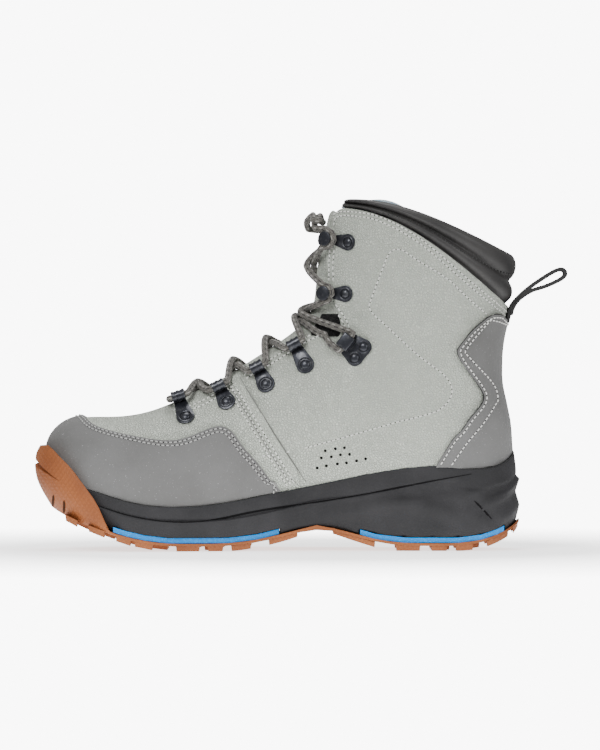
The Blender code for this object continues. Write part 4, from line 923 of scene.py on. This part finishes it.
# Lace fittings: pressed steel with a dark satin coat, each held by domed rivets. Four lace loops, a locking
# hook with two rivets and two speed hooks stand on each side of the throat.
GUNMETAL = (0.030, 0.032, 0.040)
GUNMETAL_WORN = (0.085, 0.088, 0.095)
RIVET_RADIUS = 0.0034
RING_RADIUS = 0.0044
RING_THICK = 0.0006
PLATE_RADIUS = 0.0061
PLATE_THICK = 0.0013
TUBE_RADIUS = 0.0036
LACE_BORE = 0.00275
TUBE_LENGTH = 0.0082
TUBE_RISE = 0.0045
KNOB_RADIUS = 0.0048
KNOB_RISE = 0.0057
HOOK_PLATE_THICK = 0.0008
CLAMP_SIZE = (0.0085, 0.0100, 0.0078)
CLAMP_ROUND = 0.0009
RIVETS_APART = 0.0093
KNOB_THICK = 0.0018
NECK_RADIUS = 0.0024
BAND_SWELL = 1.10
TUBE_STEPS = 1.24
LOOP_PLACES = (
    ((186.7, 417.1), (181.3, 404.0)),
    ((227.2, 401.8), (221.0, 390.3)),
    ((266.3, 384.2), (259.4, 370.4)),
    ((305.3, 365.0), (296.0, 347.5)),
)
HOOK_PLACES = (("low", (345.1, 294.5), (327.3, 293.9)), ("top", (348.0, 243.4), (330.8, 240.0)))
LOCK_PLACE = ((358.9, 352.9), (346.6, 342.9))


def stand(foot, far, side):
    """The place and reach of a fitting: its x runs from the rivet to its far end, its z out of the leather.

    A far end past the leather's edge lies in the plane of the rivet.
    """
    here, out = seen_at(foot, side, skin)
    there = seen_at(far, side, skin)[0]
    if there is None:
        x, z = from_picture(*far)
        there = Vector((x, here.y - (out.x * (x - here.x) + out.z * (z - here.z)) / out.y, z))
    along = there - here
    along = (along - out * along.dot(out)).normalized()
    across = out.cross(along)
    turn = Matrix((along, across, out)).transposed().to_4x4()
    return Matrix.Translation(here) @ turn, (there - here).length


def round_plate(at, radius, thick, stretch=0.0, narrow=1.0, spread=0.0):
    """A round plate at x = at, widened by spread, with its far part drawn out by stretch and narrowed."""
    bpy.ops.mesh.primitive_cylinder_add(vertices=32, radius=radius, depth=thick, location=(at, 0, thick / 2))
    plate = bpy.context.object
    bpy.ops.object.transform_apply(location=True)
    for vertex in plate.data.vertices:
        vertex.co.y += math.copysign(spread / 2, vertex.co.y)
        if vertex.co.x > at + radius * 0.25:
            vertex.co.x += stretch
            vertex.co.y *= narrow
    modified(plate, "BEVEL", width=thick * 0.35, segments=2, limit_method="ANGLE")
    return plate


def rivet(across, base, size=1.0):
    """A domed rivet in a raised ring."""
    bpy.ops.mesh.primitive_torus_add(
        major_radius=RING_RADIUS * size, minor_radius=RING_THICK * size, major_segments=28, minor_segments=8,
        location=(0, across, base),
    )
    ring = bpy.context.object
    bpy.ops.object.transform_apply(location=True)
    bpy.ops.mesh.primitive_uv_sphere_add(
        segments=20, ring_count=10, radius=RIVET_RADIUS * size, location=(0, across, base)
    )
    dome = bpy.context.object
    bpy.ops.transform.resize(value=(1, 1, 0.5))
    bpy.ops.object.transform_apply(location=True, scale=True)
    return [ring, dome]


def banded_tube(at):
    """An open tube along y with three raised bands, drawn out ring by ring."""
    bpy.ops.mesh.primitive_circle_add(
        vertices=24, radius=TUBE_RADIUS, rotation=(math.radians(90), 0, 0),
        location=(at, -TUBE_LENGTH / 2, TUBE_RISE),
    )
    tube = bpy.context.object
    bpy.ops.object.transform_apply(location=True, rotation=True)
    bpy.ops.object.mode_set(mode="EDIT")
    bpy.ops.mesh.select_all(action="SELECT")
    for gap in (0.28, 0.28, 0.02):
        for advance, grow in ((0.02, BAND_SWELL), (0.20, 1.0), (0.02, 1 / BAND_SWELL), (gap, 1.0)):
            step = {"value": (0, advance * TUBE_LENGTH / TUBE_STEPS, 0)}
            bpy.ops.mesh.extrude_region_move(TRANSFORM_OT_translate=step)
            bpy.ops.transform.resize(value=(grow, 1, grow))
    bpy.ops.object.mode_set(mode="OBJECT")
    modified(tube, "SOLIDIFY", thickness=TUBE_RADIUS - LACE_BORE, offset=-1)
    return tube


def weld(name, *parts):
    """Joins the parts of a fitting that is modelled once, lying at the origin."""
    pattern = only(parts[0])
    for part in parts:
        part.select_set(True)
    bpy.ops.object.join()
    pattern.name = name
    outwards(pattern)
    smoothed(pattern, 40)
    return pattern


def set_fitting(pattern, node, stance, pattern_reach):
    """A copy of a fitting in its place, with its neck drawn out to the reach that it has there."""
    place, reach = stance
    mesh = pattern.data.copy()
    for vertex in mesh.vertices:
        if vertex.co.x > RING_RADIUS * 1.25:
            vertex.co.x += reach - pattern_reach
    mesh.transform(place)
    fitting_places[node] = stance
    finished(placed(f"steel_{node}", mesh), "black_metal", steel.material, node)


steel = Finish("gunmetal", 0.34, metallic=0.75, coat=0.25)
steel.colour(steel.patched(300, 4, 0.52, 0.75, GUNMETAL, GUNMETAL_WORN))
steel.roughness(steel.ramp(steel.noise(500, 3), (0.3, 0.28), (0.7, 0.45)))
steel.bumps((steel.noise(1200, 2), 0.0001, 0.3))

loop_reach = stand(*LOOP_PLACES[1], -1)[1]
lace_loop = weld(
    "lace_loop_pattern",
    round_plate(0, PLATE_RADIUS, PLATE_THICK, loop_reach - PLATE_RADIUS * 0.5, 0.70),
    *rivet(0, PLATE_THICK), banded_tube(loop_reach),
)

hook_reach = stand(*HOOK_PLACES[0][1:], -1)[1]
bpy.ops.mesh.primitive_cylinder_add(
    vertices=16, radius=NECK_RADIUS, depth=KNOB_RISE, location=(hook_reach, 0, KNOB_RISE / 2)
)
neck = bpy.context.object
bpy.ops.object.transform_apply(location=True)
knob = round_plate(hook_reach, KNOB_RADIUS, KNOB_THICK)
knob.data.transform(Matrix.Translation((0, 0, KNOB_RISE)))
speed_hook = weld(
    "speed_hook_pattern",
    round_plate(0, PLATE_RADIUS * 0.9, HOOK_PLATE_THICK, hook_reach - PLATE_RADIUS * 0.7, 0.55),
    *rivet(0, HOOK_PLATE_THICK, 0.88), neck, knob,
)

clamp_reach = stand(*LOCK_PLACE, -1)[1]
heart = round_plate(
    0, PLATE_RADIUS * 0.86, PLATE_THICK, clamp_reach - PLATE_RADIUS * 0.5, 0.8, RIVETS_APART
)
bpy.ops.mesh.primitive_cube_add(size=1, location=(clamp_reach, 0, CLAMP_SIZE[2] / 2), scale=CLAMP_SIZE)
clamp = bpy.context.object
bpy.ops.object.transform_apply(location=True, scale=True)
bpy.ops.mesh.primitive_cylinder_add(
    vertices=24, radius=LACE_BORE, depth=CLAMP_SIZE[1] * 1.4, rotation=(math.radians(90), 0, 0),
    location=(clamp_reach, 0, TUBE_RISE),
)
drill = bpy.context.object
bpy.ops.object.transform_apply(location=True, rotation=True)
modified(clamp, "BOOLEAN", operation="DIFFERENCE", object=drill)
modified(clamp, "BEVEL", width=CLAMP_ROUND, segments=3, limit_method="ANGLE")
bpy.data.objects.remove(drill)
locking_hook = weld(
    "locking_hook_pattern", heart, clamp,
    *rivet(RIVETS_APART / 2, PLATE_THICK, 0.9), *rivet(-RIVETS_APART / 2, PLATE_THICK, 0.9),
)

fitting_places = {}
for side, word in ((1, "outer"), (-1, "inner")):
    for number, places in enumerate(LOOP_PLACES, 1):
        set_fitting(lace_loop, f"lace_loop_{word}_{number}", stand(*places, side), loop_reach)
    for level, *places in HOOK_PLACES:
        set_fitting(speed_hook, f"speed_hook_{word}_{level}", stand(*places, side), hook_reach)
    set_fitting(locking_hook, f"locking_hook_{word}", stand(*LOCK_PLACE, side), clamp_reach)
for pattern in (lace_loop, speed_hook, locking_hook):
    bpy.data.objects.remove(pattern)

# Lace: one round braided cord. It lies across the vamp between the lowest loops, crosses over the tongue
# from side to side up to the top hooks, and its hidden ends stop there.
LACE_RADIUS = 0.00225
LACE_CLEAR = 0.0003
LACE_SIDES = 12
LACE_STEP = 0.0018
LACE_EASE = 6
HELD_WITHIN = 0.0006
KNOT_RISE = 0.0034
KNOT_TURNS = ((0.0038, 0.62, 0.0), (0.0046, 0.25, 1.4), (0.0008, -0.20, 2.6), (0.0, -0.62, 1.6))
END_NARROW = 0.45
BRAID_TURNS = 6
LACE_GREY = (0.135, 0.128, 0.116)
LACE_STRAND_SHADE = (0.085, 0.080, 0.072)
LACE_BLACK = (0.010, 0.010, 0.010)
LACE_HIGHLIGHT_PALE = (0.46, 0.45, 0.42)


# A round braid on the cord's own map, with painted shade between its strands, broken black lines and
# painted pale highlights that run along it.
braid = Finish("lace_braid", 0.75, sheen=0.15, specular=0.3)
run = braid.nodes.new("ShaderNodeTexCoord").outputs["UV"]
lay = braid.crossed(0.5, (0, 0, 0.62), run)
marks = []
for start, along in ((0.0, 0.0), (2.1, 2.6)):
    line = braid.texture("ShaderNodeTexWave", 0.21, run, **{"Phase Offset": start})
    dash = braid.texture("ShaderNodeTexWave", 0.13, run, bands_direction="Y", **{"Phase Offset": along})
    line = braid.ramp(line, (0.84, 0.0), (0.93, 1.0))
    marks.append(braid.maths("MULTIPLY", line, braid.ramp(dash, (0.50, 0.0), (0.60, 1.0))))
# Painted shade: the cord is darker in the valleys between the braid's strands.
shade = braid.blend(braid.ramp(lay, (0.45, 0.0), (0.95, 1.0)), LACE_STRAND_SHADE, LACE_GREY)
# Painted highlights: broken pale lines along the cord.
shade = braid.blend(braid.maths("MULTIPLY", marks[1], 0.55), shade, LACE_HIGHLIGHT_PALE)
braid.colour(braid.blend(braid.maths("MULTIPLY", marks[0], 0.85), shade, LACE_BLACK))
braid.bumps((lay, 0.0005, 0.6))


def way_through(node, offsets):
    """Places in a fitting that the lace runs through, from lower to upper end, and the outward way."""
    place, reach = fitting_places[node]
    spots = [place @ Vector((reach + x, y, z)) for x, y, z in offsets]
    if spots[0].x + spots[0].z > spots[-1].x + spots[-1].z:
        spots.reverse()
    return spots, (place.to_3x3() @ Vector((0, 0, 1))).normalized()


def crest(lower, upper_spot, outward, over):
    """The place where the lace crosses the middle, under or over its other half."""
    middle = (lower + upper_spot) / 2
    outward = outward.normalized()
    hit = under_lace.ray_cast(middle + outward * 0.06, -outward)[0] or middle
    return hit + outward * (LACE_RADIUS + LACE_CLEAR + (2 * LACE_RADIUS + LACE_CLEAR if over else 0))


THROUGH_TUBE = tuple((0, y, TUBE_RISE) for y in (-0.0062, -0.0030, 0.0030, 0.0062))
THROUGH_CLAMP = tuple((0, y, TUBE_RISE) for y in (-0.0072, -0.0035, 0.0035, 0.0072))
HOOK_LACE_RISE = HOOK_PLATE_THICK + LACE_RADIUS + 0.00015
ROUND_NECK = tuple(
    (x, y, HOOK_LACE_RISE)
    for x, y in ((0.0030, -0.0062), (-0.0028, -0.0042), (-0.0049, 0), (-0.0028, 0.0042), (0.0030, 0.0062))
)
STATIONS = tuple((f"lace_loop_{{}}_{number}", THROUGH_TUBE) for number in range(1, 5)) + (
    ("locking_hook_{}", THROUGH_CLAMP), ("speed_hook_{}_low", ROUND_NECK), ("speed_hook_{}_top", ROUND_NECK),
)
under_lace = tree_of(tongue, upper)


def half_lace(first, second, first_over):
    """One half of the lace, from its lowest loop to its top hook and across to the other side."""
    spots, sides = [], (first, second)
    for k, (station, offsets) in enumerate(STATIONS):
        here, out_here = way_through(station.format(sides[k % 2]), offsets)
        if k:
            outward = Vector((out_here.x + last_out.x, 0, out_here.z + last_out.z))
            spots.append(crest(spots[-1], here[0], outward, (k % 2 == 1) == first_over))
        spots += here
        last_out = out_here
    other = way_through(STATIONS[-1][0].format(sides[len(STATIONS) % 2]), ROUND_NECK)[0][-1]
    outward = Vector((last_out.x, 0, last_out.z)).normalized()
    sideways = Vector((0, (spots[-1].y - other.y) / 2, 0))
    knot = crest(spots[-1], other, outward, not first_over)
    for out, across, up in KNOT_TURNS:
        spots.append(knot + outward * out + sideways * across + Vector((0, 0, KNOT_RISE * up)))
    spots.append(other + (knot - other) * 0.16 + Vector((0, 0, LACE_RADIUS * 2.3)))
    return spots


def clear_of(path, fixed):
    """The path eased to a smooth run, held off the leather, with its ends and its fittings' places kept."""
    for _ in range(LACE_EASE):
        eased = path.copy()
        eased[1:-1] += 0.3 * (path[:-2] + path[2:] - 2 * path[1:-1])
        path = np.where(fixed[:, None], path, eased)
        for k, spot in enumerate(path):
            if fixed[k]:
                continue
            near, normal, _, _ = under_lace.find_nearest(Vector(spot))
            away = (Vector(spot) - near).dot(normal)
            if away < LACE_RADIUS + LACE_CLEAR:
                path[k] = Vector(spot) + normal * (LACE_RADIUS + LACE_CLEAR - away)
    return path


def swept_cord(name, path, radius, sides):
    """A round cord along a path, with narrowed ends and its own map: around it in x, along it in y."""
    path = [Vector(spot) for spot in path]
    across = (path[1] - path[0]).orthogonal().normalized()
    points, run, rings = [], 0.0, []
    for k, spot in enumerate(path):
        ahead = (path[min(k + 1, len(path) - 1)] - path[max(k - 1, 0)]).normalized()
        across = (across - ahead * across.dot(ahead)).normalized()
        run += (spot - path[k - 1]).length if k else 0
        rings.append(run)
        wide = radius * (END_NARROW if k in (0, len(path) - 1) else 1.0)
        points += ring_round(spot, across, ahead.cross(across), wide, sides)
    faces = [
        (k * sides + j, k * sides + (j + 1) % sides, (k + 1) * sides + (j + 1) % sides, (k + 1) * sides + j)
        for k in range(len(path) - 1) for j in range(sides)
    ]
    faces += [tuple(range(sides))[::-1], tuple(range((len(path) - 1) * sides, len(path) * sides))]
    cord = made(name, points, faces)
    cord.data.shade_smooth()
    around = cord.data.uv_layers.new(name="run")
    for face in cord.data.polygons:
        for corner, loop in enumerate(face.loop_indices):
            ring, turn = divmod(cord.data.loops[loop].vertex_index, sides)
            wrapped = sides if turn == 0 and corner in (1, 2) else turn
            along = rings[ring] / (radius * 2 * math.pi)
            around.data[loop].uv = (wrapped / sides * BRAID_TURNS, along * BRAID_TURNS)
    return cord


first_half = half_lace("inner", "outer", True)
second_half = half_lace("outer", "inner", False)
bar = crest(first_half[0], second_half[0], Vector((-0.55, 0, 1)), False)
lace_points = first_half[::-1] + [bar] + second_half
path = smooth_path([tuple(spot) for spot in lace_points], LACE_STEP)
held = np.array([min((Vector(spot) - mark).length for mark in lace_points) < HELD_WITHIN for spot in path])
held[0] = held[-1] = True
lace = swept_cord("round_lace", clear_of(path, held), LACE_RADIUS, LACE_SIDES)
finished(lace, "grey_cord", braid.material, *[f"lace_crossing_{number}" for number in range(1, 9)])

# Pull loop: a narrow band of black webbing, folded into a loop and sewn to the heel at its foot. It stands
# away from the collar, so that a finger goes through it.
LOOP_PATH = (
    (506.8, 323), (508.5, 316), (512, 305), (524, 292), (540, 280), (556, 270.5), (563, 270), (565, 274.5),
    (560, 279.5), (546, 286), (531, 291), (519, 299), (513, 307), (510.5, 315),
)
BAND_HALF = 0.0085
BAND_THICK = 0.0026
BAND_ROUND = 0.0006
rows = [from_picture(*spot) for spot in smooth_path(LOOP_PATH, 3.0)]
points = [(x, side * BAND_HALF, z) for x, z in rows for side in (-1, 1)]
faces = [(2 * k, 2 * k + 1, 2 * k + 3, 2 * k + 2) for k in range(len(rows) - 1)]
band = made("webbing_pull_loop", points, faces)
modified(band, "SOLIDIFY", thickness=BAND_THICK, offset=0)
modified(band, "BEVEL", width=BAND_ROUND, segments=2, limit_method="ANGLE", angle_limit=math.radians(50))
smoothed(band, 40)
webbing = Finish("webbing", 0.7, sheen=0.1, specular=0.35)
weave = webbing.texture("ShaderNodeTexWave", 180, webbing.turned((math.radians(90), 0, 0)))
webbing.colour(webbing.blend(webbing.noise(700, 2), (0.014, 0.014, 0.014), (0.030, 0.030, 0.030)))
webbing.bumps((weave, 0.0003, 0.5), (webbing.noise(1200, 2), 0.0002, 0.3))
finished(band, "black_webbing", webbing.material, "pull_loop")
